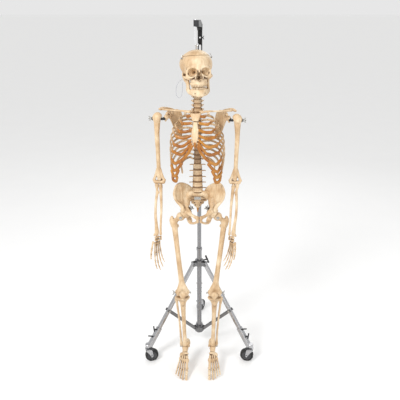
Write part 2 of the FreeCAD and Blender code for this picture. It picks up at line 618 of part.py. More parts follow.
def make_girdle(parts):
    """Collarbones, and shoulder blades with their spines, acromions and sockets."""
    clavicles, blades = [], []
    for side in SIDES.values():
        x = SPINE_X
        points = [(32, -240, 1452), (62, -238, 1456), (96, -220, 1459), (130, -196, 1461), (158, -172, 1462)]
        clavicles.append(in_trunk(bent(mirrored([V(x + a, b, c) for a, b, c in points], side), 4.6)))
        outline = [(0, 0), (30, 8), (56, 4), (60, -14), (42, -48), (26, -92), (12, -128), (2, -136), (-6, -120),
                   (-10, -70), (-8, -24)]
        blade = plate(outline, 5)
        # the blade stands upright and faces forward and outward
        blade.Placement = Placement(V(x + 92, -86, 1424), Rotation(UP, -34) * Rotation(ACROSS, 90))
        glenoid = turned(V(x + 143, -153, 1408), V(x + 156, -164, 1405), [9, 12, 15])
        neck = bar(V(x + 124, -116, 1414), V(x + 148, -157, 1407), 8, 10)
        inner = V(x + SHOULDER_HALF - BOLT_REACH, SHOULDER_Y, SHOULDER_Z)
        fork = [bar(inner - V(0, 9, 0), inner + V(0, 9, 0), 2.5)]
        for y in (-7, 7):
            fork.append(bar(inner + V(0, y - 1.5, 0), inner + V(0, y + 1.5, 0), 6))
            fork.append(block(inner + V(-9, y, 0), (18, 3, 9)))
        spine = bent([V(x + 92, -86, 1402), V(x + 126, -90, 1432), V(x + 160, -118, 1451), V(x + 172, -154, 1453)],
                     4.5)
        coracoid = bent([V(x + 134, -132, 1414), V(x + 134, -152, 1432), V(x + 142, -178, 1432)], 5)
        shape = join(blade, neck, glenoid, spine, coracoid, *fork)
        if side < 0:
            shape = shape.mirror(V(x, 0, 0), ACROSS)
        blades.append(in_trunk(shape))
    parts["clavicles"] = clavicles
    parts["scapulae"] = blades


# ---------------------------------------------------------------- pelvis
def make_pelvis(parts):
    hips = []
    for side in SIDES.values():
        outline = [(0, 0), (34, 34), (84, 36), (112, 4), (104, -34), (66, -60), (40, -88), (14, -92), (8, -60),
                   (-10, -36)]
        wing = plate(outline, 7)
        # the wing runs forward and outward from the sacrum
        wing.Placement = Placement(V(56, -142, 1044), Rotation(UP, -58) * Rotation(ACROSS, 90))
        socket = V(HIP_SOCKET_X, HIP_Y, HIP_SOCKET_Z)
        cup = ball(socket + V(-4, 0, 4), 30).common(block(socket - V(16, 0, 0), (46, 80, 80)))
        cup = cup.cut(ball(socket + V(10, 0, -6), 25))
        pubis = bent([V(54, -206, 936), V(34, -232, 930), V(4.5, -250, 922)], 7)
        ramus = bent([V(4.6, -250, 918), V(20, -236, 898), V(40, -206, 878)], 5.5)
        ischium = turned(V(58, -186, 920), V(44, -178, 868), [16, 13, 13, 9])
        foot = bar(V(44, -182, 878), V(38, -208, 880), 8, 6)
        ala = bar(V(58, -186, 950), V(64, -160, 1000), 15, 8)
        shape = join(wing, cup, pubis, ramus, ischium, foot, ala)
        rod_hole = bar(socket - HIP_ROD_DIR * 60, socket + HIP_ROD_DIR * 40, 4 + RUNNING)
        nut_room = bar(socket - HIP_ROD_DIR * HIP_NUT, socket - HIP_ROD_DIR * (HIP_NUT + 22), 15)
        head_room = ball(V(HIP_HEAD_X, HIP_Y, HIP_HEAD_Z), HEAD_R + 1)
        shape = max(shape.cut([rod_hole, nut_room, head_room]).Solids, key=lambda s: s.Volume)
        if side < 0:
            shape = shape.mirror(V(0, 0, 0), ACROSS)
        hips.append(shape)
    parts["hip_bones"] = hips
    # a disc between the two pubic bones
    parts["discs"].append(bar(V(-4.3, -250, 920), V(4.3, -250, 920), 8))


HIP_ROD_DIR = V(HIP_HEAD_X - HIP_SOCKET_X, 0, HIP_HEAD_Z - HIP_SOCKET_Z).normalize()


# ---------------------------------------------------------------- arms
def make_arm(parts, name, side):
    shoulder = in_trunk(V(SPINE_X + side * SHOULDER_HALF, SHOULDER_Y, SHOULDER_Z))
    inner = in_trunk(V(SPINE_X + side * (SHOULDER_HALF - BOLT_REACH), SHOULDER_Y, SHOULDER_Z))
    outer = in_trunk(V(SPINE_X + side * (SHOULDER_HALF + BOLT_REACH), SHOULDER_Y, SHOULDER_Z))
    along = (outer - inner).normalize()
    fore = along.cross(UP)
    elbow, wrist = ELBOW[name], WRIST[name]
    # bolt: an eye hinged in the shoulder blade's fork, the shaft through the humerus, and a wing nut
    eye = bar(inner - fore * 5, inner + fore * 5, 6)
    bolt = join(bar(inner, outer + along * 6, 4), eye, wing_nut(outer + along * 3, along, V(0, 0.4, -1)))
    parts[f"shoulder_bolt_{name}"] = [bolt.cut(bar(inner - fore * 12, inner + fore * 12, 2.5 + RUNNING))]
    down = (wrist - elbow).normalize()
    front = down.cross(along).normalize() * side
    middle = elbow - along * 8  # the hinge's middle, on the ulna's side
    hook_top, hook_low = middle - front * 13 + UP * 8, middle + down * 26 - front * 4
    head = ball(shoulder + V(0, 0, HUMERAL_HEAD_UP) - along * 2, 22)
    tubercle = ball(shoulder + along * 9 + V(0, -6, 2), 14)
    shaft = turned(shoulder + V(0, 0, 4), elbow + V(0, 0, 18), [17, 12.5, 10.5, 10, 10, 10.5, 12])
    flare = bar(elbow + V(0, 0, 34), elbow + V(0, 0, 6), 10, 19)
    flare = flare.common(block(elbow + V(0, 0, 20), (60, 13, 44)))
    spool = bar(elbow - along * 20, elbow + along * 20, SPOOL_R)
    room = [ball(inner, 13), bar(inner - along * 20, outer + along * 30, 4 + RUNNING),
            ball(middle + front * 14 + UP * 14, 10), bar(hook_low, hook_top + UP * 5 - front * 2, 9)]
    humerus = join(head, tubercle, shaft, flare).cut(room).fuse(spool)
    parts[f"humerus_{name}"] = [max(humerus.Solids, key=lambda s: s.Volume)]
    # forearm: the ulna hooks round the spool, the radius ends under it
    notch = bar(elbow - along * 40, elbow + along * 40, SPOOL_R + GAP)
    olecranon = bar(hook_top, hook_low, 8)
    coronoid = bar(hook_low, middle + front * 11 + down * 11, 7, 4.5)
    medial = along * -1
    ulna_shaft = turned(elbow + medial * 8 + down * 18 - front * 2, wrist + medial * 14 - down * 8,
                        [8.5, 8, 7, 6.5, 6, 5.5, 7])
    ulna = join(olecranon, coronoid, ulna_shaft).cut(notch)
    parts[f"ulna_{name}"] = [max(ulna.Solids, key=lambda s: s.Volume)]
    radius_top = elbow - medial * 11 + down * 12 + front * 1
    radius_end = wrist - medial * 6 - down * 4
    parts[f"radius_{name}"] = [turned(radius_top, radius_end, [9.5, 7, 6.5, 6.5, 7, 8, 10, 13])]
    parts[f"hand_{name}"] = make_hand(wrist, down, front, medial)


FINGERS = [  # spread across the palm, metacarpal start, then lengths and the base radius
    ("thumb", 24, 8, (42, 30, 24), 6.0), ("index", 17, 26, (62, 38, 22, 17), 5.4),
    ("middle", 6, 27, (60, 42, 27, 17), 5.4), ("ring", -5, 26, (54, 39, 25, 17), 5.0),
    ("little", -15, 24, (50, 31, 18, 16), 4.6)]


def make_hand(wrist, down, front, medial):
    """Eight carpal bones in two rows, then each digit's bones end to end. The palm faces the thigh."""
    # the hand hangs turned half way, so its width runs front to back
    wide = (front * 0.8 - medial * 0.6).normalize()
    palm = wide.cross(down).normalize()
    if palm.dot(medial) < 0:
        palm = palm * -1
    bones = []
    for row, (count, radius) in enumerate(((4, 6.0), (4, 5.9))):
        for i in range(count):
            bones.append(ball(wrist + down * (10 + 13 * row) + wide * ((i - 1.5) * 12.4), radius))
    for digit, spread, start, lengths, radius in FINGERS:
        at = wrist + down * (start + 8) + wide * spread * 0.9
        curl = 0
        thumb = digit == "thumb"
        if thumb:
            at = wrist + down * 27 + wide * 33 + palm * 4
        for n, length in enumerate(lengths):
            fan = spread / 24.0 * (0.55 if thumb else 0.16)
            bend = radians((18 if thumb else 6) + curl)
            way = (down * cos(bend) + palm * sin(bend) + wide * fan).normalize()
            r = radius * (1 - 0.13 * n)
            end = at + way * (length - 1.2)
            bones.append(turned(at, end, [r, r * 0.72, r * 0.62, r * 0.66, r * 0.9]))
            at = at + way * length
            curl += 12 if n else 9
    return bones


# ---------------------------------------------------------------- legs
def make_leg_bones(parts, name, side):
    socket = V(side * HIP_SOCKET_X, HIP_Y, HIP_SOCKET_Z)
    head = V(side * HIP_HEAD_X, HIP_Y, HIP_HEAD_Z)
    rod_dir = (head - socket).normalize()
    # hip rod: wing nut inside the pelvis, shaft through the socket, tongue pinned in the femoral head
    nut = socket - rod_dir * (HIP_NUT + GAP)
    shaft = bar(nut - rod_dir * 10, head - rod_dir * 8, 4)
    cross = rod_dir.cross(BACK)
    tongue = bar(head - V(0, 3, 0), head + V(0, 3, 0), 9)
    tongue = tongue.fuse(bar(head - rod_dir * 12, head, 4))
    pin = bar(head - V(0, 14, 0), head + V(0, 14, 0), 3)
    rod = join(shaft, tongue, pin, wing_nut(nut, rod_dir * -1, cross))
    parts[f"hip_rod_{name}"] = [rod]
    knee, ankle = KNEE[name], ANKLE[name]
    along = (head - knee).normalize()
    neck_end = head + V(side * 34, 8, -32)
    ball_part = ball(head, HEAD_R)
    neck = bar(head, neck_end, 13, 15)
    trochanter = turned(neck_end + V(side * 12, 6, 18), neck_end - V(0, 0, 34), [9, 14, 15, 14])
    shaft = turned(neck_end - V(0, 0, 8), knee + along * 34, [16, 14, 13.2, 13, 13.5, 15, 19])
    condyles = [turned(knee + V(s * 36, 8, 0), knee + V(s * 6, 8, 0), [15, 19, 20, 18]) for s in (-1, 1)]
    bridge = block(knee + V(0, 2, 20), (56, 30, 30))
    femur = join(ball_part, neck, trochanter, shaft, bridge, *condyles, bar(knee + V(-8, 8, 0), knee + V(8, 8, 0), 10))
    # a cleft and a funnel, so that the head swings on the rod's tongue
    cleft = bar(head - V(0, 3 + GAP, 0), head + V(0, 3 + GAP, 0), 24).common(
        bar(head - V(0, 5, 0), head + V(0, 5, 0), 10 + GAP).fuse(block(head - rod_dir * 20, (30, 12, 30))))
    reach = bar(head - V(0, 15, 0), head + V(0, 15, 0), PIN_R + RUNNING)
    swing = [bar(head, head - Rotation(BACK, angle).multVec(rod_dir) * 40, 4 + GAP) for angle in range(-25, 26, 5)]
    femur = femur.cut([cleft, reach] + swing)
    rod_line = bar(knee + V(-50, 8, 0), knee + V(50, 8, 0), 3.2)
    femur = femur.cut(rod_line)
    parts[f"femur_{name}"] = [max(femur.Solids, key=lambda s: s.Volume)]
    out = V(side, 0, 0)
    seat = knee + V(0, 8, 0)
    parts[f"knee_rod_{name}"] = [join(bar(seat - out * 42, seat + out * 42, 3.0),
                                      bar(seat - out * 46, seat - out * 41, 6),
                                      wing_nut(seat + out * 41, out, V(0, 0.5, 1), 0.9))]
    parts[f"patella_{name}"] = [ellipsoid(knee + V(side * -3, -28.5, 8), (20, 8, 21))]
    # shin: a plateau under the condyles, the shaft to the ankle, and the fibula beside it
    down = (ankle - knee).normalize()
    top = knee + V(0, 8, 0) + down * 22
    plateau = oval(V(0, 0, -8), 72, 44, 16)
    plateau.Placement = Placement(top, Rotation(UP, down * -1))
    tibia = join(plateau, turned(top + down * 10, ankle - down * 14, [21, 15, 12.5, 11.5, 11, 11, 12.5, 17]),
                 bar(ankle - down * 20, ankle - down * 12.5, 17, 18),
                 bar(ankle - down * 20 - out * 17, ankle - down * 1 - out * 22, 8, 5))
    fib_top = top + down * 21 + out * 35 + V(0, 12, 0)
    fib_end = ankle + out * 24 + V(0, 4, 0) + down * 8
    fibula = turned(fib_top, fib_end, [8, 6, 5, 5, 5, 5, 6, 8, 6])
    parts[f"shin_bones_{name}"] = [tibia, fibula]
    parts[f"foot_{name}"] = make_foot(ankle, side, FOOT_YAW[name])


TOES = [(22, 9.5, 60, (30, 22)), (9, 6.2, 68, (24, 12, 9)), (-1, 5.8, 66, (22, 11, 8)), (-11, 5.6, 64, (20, 10, 8)),
        (-21, 5.6, 60, (18, 9, 8))]


def make_foot(ankle, side, yaw):
    """Seven tarsal bones, five metatarsals and fourteen toe bones. Built flat, toes at -Y, then tilted."""
    bones = []
    talus = ellipsoid(V(0, -4, -5), (15, 21, 14))
    heel = turned(V(2, -16, -31), V(0, 42, -39), [9, 11, 12, 14, 15, 11])
    bones += [talus, heel]
    bones.append(ellipsoid(V(8, -35, -14), (13, 8, 11)))
    bones.append(ellipsoid(V(-16, -38, -27), (10, 13, 9)))
    for x in (18, 7.2, -3):
        bones.append(ellipsoid(V(x, -52, -20), (5.2, 8, 8.5)))
    for x, radius, length, joints in TOES:
        at = V(x * 0.92, -62 if x > -9 else -58, -22 if x > -9 else -27)
        aim = V(x * 1.25, at.y - length, -38)
        way = (aim - at).normalize()
        bones.append(turned(at, at + way * (length - 1.2), [radius, radius * 0.72, radius * 0.6, radius * 0.66,
                                                             radius * 0.95]))
        at = at + way * length
        for n, joint in enumerate(joints):
            step = V(way.x, way.y, -0.06 - 0.22 * n).normalize()
            r = radius * (0.82 - 0.1 * n)
            bones.append(turned(at, at + step * (joint - 1.2), [r, r * 0.7, r * 0.68, r * 0.85]))
            at = at + step * joint
    place = Placement(ankle, Rotation(UP, yaw) * Rotation(ACROSS, FOOT_PITCH))
    made = []
    for bone in bones:
        # built for the right foot, whose big toe lies towards +X
        bone = bone if side < 0 else bone.mirror(V(0, 0, 0), ACROSS)
        bone = bone.copy()
        bone.Placement = place.multiply(bone.Placement)
        made.append(bone)
    return made


# ---------------------------------------------------------------- the tag's loop of nylon
LOOP_R = 1.1
LOOP = [V(-77, -214, 1597), V(-86, -222, 1592), V(-97, -224.5, 1581), V(-103.5, -225, 1565), V(-106, -224.5, 1547),
        V(-105, -224, 1530), V(-99, -223.5, 1517), V(-88, -222.5, 1514), V(-80, -221.5, 1525), V(-77, -221, 1543),
        V(-76, -220, 1563), V(-75, -218, 1583)]


def make_tag_loop(parts):
    wire, radii = path(LOOP)
    print("tag loop: length", round(wire.Length, 1), "smallest radius", round(min(radii), 1))
    parts["tag_loop"] = [bent(LOOP, LOOP_R)]


def main():
    parts = {}
    make_stand(parts)
    make_head(parts)
    make_spine(parts)
    make_sacrum(parts)
    make_chest(parts)
    make_pelvis(parts)
    for name, side in SIDES.items():
        make_arm(parts, name, side)
        make_leg_bones(parts, name, side)
    make_tag_loop(parts)
    os.makedirs("parts", exist_ok=True)
    for name, solids in parts.items():
        flat = [s for shape in solids for s in shape.Solids]
        for s in flat:
            if not s.isValid() or s.Volume <= 0:
                print("bad solid in", name, s.isValid(), s.Volume)
        shape = flat[0] if len(flat) == 1 else Part.makeCompound(flat)
        shape.exportStep(f"parts/{name}.step")
    print(len(parts), "nodes,", sum(len(s) for s in parts.values()), "solids")
    return parts


if __name__ == "__main__":
    main()
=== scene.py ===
"""A life-size teaching skeleton hanging from a rolling stand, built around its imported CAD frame."""
import json
import math
from itertools import product

import bmesh
import bpy
import numpy as np
from mathutils import Matrix, Vector, noise


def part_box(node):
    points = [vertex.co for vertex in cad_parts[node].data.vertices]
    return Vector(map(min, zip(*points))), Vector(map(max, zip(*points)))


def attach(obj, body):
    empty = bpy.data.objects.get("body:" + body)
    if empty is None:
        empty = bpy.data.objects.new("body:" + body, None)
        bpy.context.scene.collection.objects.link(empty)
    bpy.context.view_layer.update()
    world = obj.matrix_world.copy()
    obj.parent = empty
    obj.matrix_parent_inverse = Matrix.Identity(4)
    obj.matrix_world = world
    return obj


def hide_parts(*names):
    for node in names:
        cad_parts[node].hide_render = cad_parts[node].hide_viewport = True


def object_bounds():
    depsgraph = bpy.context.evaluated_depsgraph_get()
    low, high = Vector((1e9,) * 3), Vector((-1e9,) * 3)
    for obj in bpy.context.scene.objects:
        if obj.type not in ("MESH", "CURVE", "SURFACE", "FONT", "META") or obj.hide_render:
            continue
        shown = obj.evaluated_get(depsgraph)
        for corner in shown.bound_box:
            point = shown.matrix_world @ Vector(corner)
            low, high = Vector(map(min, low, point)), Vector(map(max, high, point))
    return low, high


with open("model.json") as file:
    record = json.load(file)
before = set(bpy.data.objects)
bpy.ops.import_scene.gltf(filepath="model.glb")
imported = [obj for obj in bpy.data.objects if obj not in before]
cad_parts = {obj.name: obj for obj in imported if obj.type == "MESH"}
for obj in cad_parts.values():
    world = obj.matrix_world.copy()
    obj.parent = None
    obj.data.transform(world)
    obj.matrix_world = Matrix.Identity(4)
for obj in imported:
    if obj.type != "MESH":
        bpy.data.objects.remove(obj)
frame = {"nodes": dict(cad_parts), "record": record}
CAD_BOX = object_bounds()
JOINTS = {j["name"]: j for j in frame["record"]["behaviour"]["joints"]}
SIDES = {"right": -1, "left": 1}
MM = 0.001
FAR = 1e3  # the field's value away from every form
OCCLUSION_STEPS = (2.5, 5.5)  # how far outside the skin the occlusion behind the painted shade is sampled, in millimetres
CREASE = math.radians(32)  # edges of hardware sharper than this stay crisp
CAMERA_AT, CAMERA_DIP, LENS, SENSOR = (0.004, -2.536, 1.90), 21, 45, 36
FLOOR_SIZE, SKY = 300, 0.80
AMBER_FROM, AMBER_TO = -0.185, -0.235  # along Y in metres: where the ribs start and finish deepening
UP, FRONT, ACROSS = np.array((0, 0, 1.0)), np.array((0, -1.0, 0)), np.array((1.0, 0, 0))


# ---------------------------------------------------------------- places from the frame, in millimetres
def arr(*values):
    return np.array(values, float)


def unit(v):
    return np.asarray(v, float) / np.linalg.norm(v)


def square_to(axis):
    """A direction square to an axis."""
    return unit(np.cross(axis, UP if abs(axis[2]) < 0.9 else ACROSS))


def pivot(joint):
    return np.array(JOINTS[joint]["pos_m"]) / MM


def axis_of(joint):
    return unit(JOINTS[joint]["axis"])


def node_box(node):
    low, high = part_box(node)
    return np.array(low) / MM, np.array(high) / MM


# ---------------------------------------------------------------- modelling with blended round forms
def smooth_min(a, b, k):
    if k <= 0:
        return np.minimum(a, b)
    h = np.maximum(k - np.abs(a - b), 0) / k
    return np.minimum(a, b) - h * h * k * 0.25


def curve_through(points, step=7.0):
    """A smooth line through the points, with the share of its length at each new point."""
    p = np.array([np.atleast_1d(q) for q in points], float)
    ends = np.vstack([2 * p[0] - p[1], p, 2 * p[-1] - p[-2]])
    line = []
    for i in range(len(p) - 1):
        a, b, c, d = ends[i:i + 4]
        count = max(1, int(np.ceil(np.linalg.norm(c[:3] - b[:3]) / step)))
        for t in np.arange(count) / count:
            line.append(0.5 * (2 * b + (c - a) * t + (2 * a - 5 * b + 4 * c - d) * t * t
                               + (3 * b - a - 3 * c + d) * t ** 3))
    line.append(p[-1])
    return np.array(line)


class Clay:
    """Forms blended on a grid of cells, then turned into one closed skin. Millimetres throughout."""

    def __init__(self, low, high, cell):
        self.low, self.cell = np.array(low, float) - 3 * cell, cell
        self.shape = np.ceil((np.array(high) - self.low) / cell).astype(int) + 4
        self.field = np.full(self.shape, FAR, np.float32)

    def window(self, low, high):
        a = np.clip(np.floor((low - self.low) / self.cell).astype(int), 0, self.shape)
        b = np.clip(np.ceil((high - self.low) / self.cell).astype(int) + 1, 0, self.shape)
        axes = [(self.low[i] + self.cell * np.arange(a[i], b[i])).astype(np.float32) for i in range(3)]
        return tuple(slice(i, j) for i, j in zip(a, b)), np.meshgrid(*axes, indexing="ij", sparse=True)

    def merge(self, slot, distance, blend, cut):
        here = self.field[slot]
        here[...] = -smooth_min(-here, distance, blend) if cut else smooth_min(here, distance, blend)

    def rope(self, points, radii, blend=2.0, thin=None, flat=1.0, cut=False, step=7.0):
        """A bar along a smooth line, flattened along thin; 'wall' flattens it level and square to it."""
        radii = np.broadcast_to(radii, len(points)) if np.ndim(radii) else np.full(len(points), float(radii))
        line = curve_through([np.append(p, r) for p, r in zip(points, radii)], step)
        reach = line[:, 3].max() * max(1, flat) + blend + 6
        whole, _ = self.window(line[:, :3].min(0) - reach, line[:, :3].max(0) + reach)
        start = np.array([s.start for s in whole])
        near = np.full([s.stop - s.start for s in whole], FAR, np.float32)
        for a, b in zip(line, line[1:]):
            slot, (x, y, z) = self.window(np.minimum(a, b)[:3] - reach, np.maximum(a, b)[:3] + reach)
            d = (b - a)[:3]
            length = max(float(d @ d), 1e-9)
            t = np.clip(((x - a[0]) * d[0] + (y - a[1]) * d[1] + (z - a[2]) * d[2]) / length, 0, 1)
            q = [g - a[i] - t * d[i] for i, g in enumerate((x, y, z))]
            squared = q[0] ** 2 + q[1] ** 2 + q[2] ** 2
            if thin is not None:
                n = np.cross(d, UP) if isinstance(thin, str) else np.asarray(thin, float)
                n = n / max(np.linalg.norm(n), 1e-6)
                squared = squared + (flat * flat - 1) * (q[0] * n[0] + q[1] * n[1] + q[2] * n[2]) ** 2
            distance = np.sqrt(squared) - (a[3] + t * (b[3] - a[3]))
            local = tuple(slice(s.start - o, s.stop - o) for s, o in zip(slot, start))
            np.minimum(near[local], distance, out=near[local])
        self.merge(whole, near, blend, cut)

    def egg(self, centre, half, blend=2.0, turn=None, cut=False):
        """An ellipsoid, turned by a 3x3 matrix of its own axes."""
        half, turn = np.broadcast_to(half, 3).astype(float), np.eye(3) if turn is None else np.array(turn,
                                                                                                     float)
        reach = np.sqrt(((turn.T * half) ** 2).sum(1)) + blend + 6
        slot, (x, y, z) = self.window(np.array(centre) - reach, np.array(centre) + reach)
        q = [x - centre[0], y - centre[1], z - centre[2]]
        local = [turn[i][0] * q[0] + turn[i][1] * q[1] + turn[i][2] * q[2] for i in range(3)]
        k0 = np.sqrt(sum((c / h) ** 2 for c, h in zip(local, half)))
        k1 = np.sqrt(sum((c / h ** 2) ** 2 for c, h in zip(local, half)))
        self.merge(slot, k0 * (k0 - 1) / np.maximum(k1, 1e-6), blend, cut)

    def plate(self, origin, u, v, outline, thick, blend=2.0, bend=None, cut=False, round_edge=1.5):
        """A flat or bent plate: its outline in the u, v plane, and bend(u, v) off that plane."""
        u, v, origin = unit(u), unit(v), np.array(origin, float)
        n = np.cross(u, v)
        corners = np.array([origin + a * u + b * v for a, b in outline])
        slot, (x, y, z) = self.window(corners.min(0) - 30, corners.max(0) + 30)
        q = [x - origin[0], y - origin[1], z - origin[2]]
        pu, pv, pn = (q[0] * w[0] + q[1] * w[1] + q[2] * w[2] for w in (u, v, n))
        if bend is not None:
            pn = pn - bend(pu, pv)
        edge = np.full(pu.shape, 1e9)
        sign = np.ones(pu.shape)
        ring = list(outline)
        for (ax, ay), (bx, by) in zip(ring, ring[1:] + ring[:1]):
            ex, ey, wx, wy = bx - ax, by - ay, pu - ax, pv - ay
            t = np.clip((wx * ex + wy * ey) / (ex * ex + ey * ey), 0, 1)
            edge = np.minimum(edge, (wx - ex * t) ** 2 + (wy - ey * t) ** 2)
            above, below, left = pv >= ay, pv < by, ex * wy > ey * wx
            sign = np.where((above & below & left) | (~above & ~below & ~left), -sign, sign)
        flat_d = sign * np.sqrt(edge) + round_edge
        deep = np.abs(pn) - thick / 2 + round_edge
        distance = np.sqrt(np.maximum(flat_d, 0) ** 2 + np.maximum(deep, 0) ** 2) - round_edge \
            + np.minimum(np.maximum(flat_d, deep), 0)
        self.merge(slot, distance, blend, cut)

    def halve(self, point, normal):
        """Keeps what lies behind a plane."""
        _, (x, y, z) = self.window(self.low, self.low + self.cell * self.shape)
        side = (x - point[0]) * normal[0] + (y - point[1]) * normal[1] + (z - point[2]) * normal[2]
        np.maximum(self.field, side, out=self.field)

    def sample(self, points):
        """The field at points, read between the cells."""
        q = np.clip((points - self.low) / self.cell, 0, np.array(self.shape) - 1.001)
        base = q.astype(int)
        t = q - base
        value = 0
        for corner in product((0, 1), repeat=3):
            weight = np.prod(np.where(corner, t, 1 - t), axis=1)
            value = value + weight * np.minimum(self.field[tuple((base + corner).T)], 12)
        return value

    def skin(self, rounds=2):
        """Vertices, faces and how occluded each vertex is: the amount of painted shade in its hollows."""
        field = self.field
        inside = field < 0
        n = np.array(field.shape) - 1
        corners = [np.array(c) for c in product((0, 1), repeat=3)]
        count = sum(inside[c[0]:c[0] + n[0], c[1]:c[1] + n[1],
                           c[2]:c[2] + n[2]].astype(np.int8) for c in corners)
        cells = np.argwhere((count > 0) & (count < 8))
        index = np.full(n, -1, np.int64)
        index[tuple(cells.T)] = np.arange(len(cells))
        total, hits = np.zeros((len(cells), 3)), np.zeros(len(cells))
        quads = []
        for axis in range(3):
            step = np.eye(3, dtype=int)[axis]
            for start in (c for c in corners if c[axis] == 0):
                a, b = field[tuple((cells + start).T)], field[tuple((cells + start + step).T)]
                crossing = (a < 0) != (b < 0)
                t = np.where(crossing, a / np.where(crossing, a - b, 1), 0)
                total += crossing[:, None] * (start + t[:, None] * step)
                hits += crossing
            first = [slice(None)] * 3
            second = [slice(None)] * 3
            first[axis], second[axis] = slice(None, -1), slice(1, None)
            at = np.argwhere(inside[tuple(first)] != inside[tuple(second)])
            eu, ev = np.eye(3, dtype=int)[(axis + 1) % 3], np.eye(3, dtype=int)[(axis + 2) % 3]
            at = at[((at @ eu) > 0) & ((at @ ev) > 0) & ((at @ eu) < n @ eu) & ((at @ ev) < n @ ev)]
            quad = np.stack([index[tuple((at - o).T)] for o in (0 * eu, eu, eu + ev, ev)], 1)
            outward = inside[tuple(at.T)]
            quads.append(np.where(outward[:, None], quad, quad[:, ::-1]))
        quads = np.concatenate(quads)
        verts = (cells + total / hits[:, None]) * self.cell + self.low
        edges = np.unique(np.sort(np.concatenate([quads[:, [i, (i + 1) % 4]] for i in range(4)]), 1), axis=0)
        ends = np.concatenate([edges, edges[:, ::-1]])
        degree = np.bincount(ends[:, 0], minlength=len(verts))[:, None]
        for factor in (0.6, -0.62) * rounds:
            mean = np.stack([np.bincount(ends[:, 0], verts[ends[:, 1], i], len(verts)) for i in range(3)],
                            1) / degree
            verts = verts + factor * (mean - verts)
        normal = np.zeros_like(verts)
        flat = np.cross(verts[quads[:, 2]] - verts[quads[:, 0]], verts[quads[:, 3]] - verts[quads[:, 1]])
        for i in range(4):
            for k in range(3):
                normal[:, k] += np.bincount(quads[:, i], flat[:, k], len(verts))
        normal /= np.maximum(np.linalg.norm(normal, axis=1), 1e-9)[:, None]
        # occlusion read from the field just outside the skin; the bone materials paint it as dark brown shade
        hollow = sum(np.clip(1 - self.sample(verts + normal * h) / h, 0, 1) for h in OCCLUSION_STEPS) / 2
        for _ in range(3):
            hollow = np.bincount(ends[:, 0], hollow[ends[:, 1]], len(verts)) / degree[:, 0]
        return verts, quads, hollow


# ---------------------------------------------------------------- objects
def link(name, data):
    """A new object of the data, in the scene."""
    obj = bpy.data.objects.new(name, data)
    bpy.context.scene.collection.objects.link(obj)
    return obj


def set_mesh(name, verts, faces, hollow=None, smooth=True):
    """A mesh object from millimetre points and faces of one size."""
    faces = np.asarray(faces)
    mesh = bpy.data.meshes.new(name)
    mesh.vertices.add(len(verts))
    mesh.vertices.foreach_set("co", (np.asarray(verts) * MM).astype(np.float32).ravel())
    mesh.loops.add(faces.size)
    mesh.loops.foreach_set("vertex_index", faces.astype(np.int32).ravel())
    mesh.polygons.add(len(faces))
    mesh.polygons.foreach_set("loop_start", np.arange(0, faces.size, faces.shape[1], dtype=np.int32))
    mesh.polygons.foreach_set("use_smooth", np.full(len(faces), smooth))
    mesh.update(calc_edges=True)
    if hollow is not None:
        # the hollow attribute carries occlusion, which the bone materials paint as shade
        mesh.attributes.new("hollow", "FLOAT", "POINT").data.foreach_set("value", hollow.astype(np.float32))
    return link(name, mesh)


def place(obj, body, material, slot, *nodes):
    """Gives a piece its material, rides it on its body and hides the frame parts it stands for; its slot is
    not used.
    """
    obj.data.materials.clear()
    obj.data.materials.append(material)
    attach(obj, body)
    if nodes:
        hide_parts(*nodes)
    return obj


# ---------------------------------------------------------------- camera, floor and light
def make_camera():
    data = bpy.data.cameras.new("camera")
    data.lens, data.sensor_width = LENS, SENSOR
    camera = link("camera", data)
    camera.location = CAMERA_AT
    camera.rotation_euler = (math.radians(90 - CAMERA_DIP), 0, 0)
    bpy.context.scene.camera = camera


def make_light(name, place_at, target, power, size):
    data = bpy.data.lights.new(name, "AREA")
    data.energy, data.shape, data.size = power, "DISK", size
    light = link(name, data)
    light.location = place_at
    light.rotation_euler = (Vector(target) - Vector(place_at)).to_track_quat("-Z", "Y").to_euler()


def make_studio():
    make_camera()
    bpy.ops.mesh.primitive_plane_add(size=FLOOR_SIZE, location=(0, 0, CAD_BOX[0][2]))
    floor = bpy.context.object
    floor.name = "floor"
    floor.data.materials.append(plain_material("floor_paper", (0.97, 0.97, 0.965), 0.9))
    middle = (0, -0.1, 1.0)
    make_light("key", (-1.7, -2.4, 3.3), middle, 74, 1.1)
    make_light("fill", (2.1, -2.2, 1.6), middle, 16, 1.8)
    make_light("rim", (0.9, 2.4, 2.8), middle, 14, 2.0)
    world = bpy.data.worlds.new("studio")
    bpy.context.scene.world = world
    world.use_nodes = True
    world.node_tree.nodes["Background"].inputs["Color"].default_value = (1, 1, 1, 1)
    world.node_tree.nodes["Background"].inputs["Strength"].default_value = SKY
    bpy.context.scene.view_settings.view_transform = "Standard"


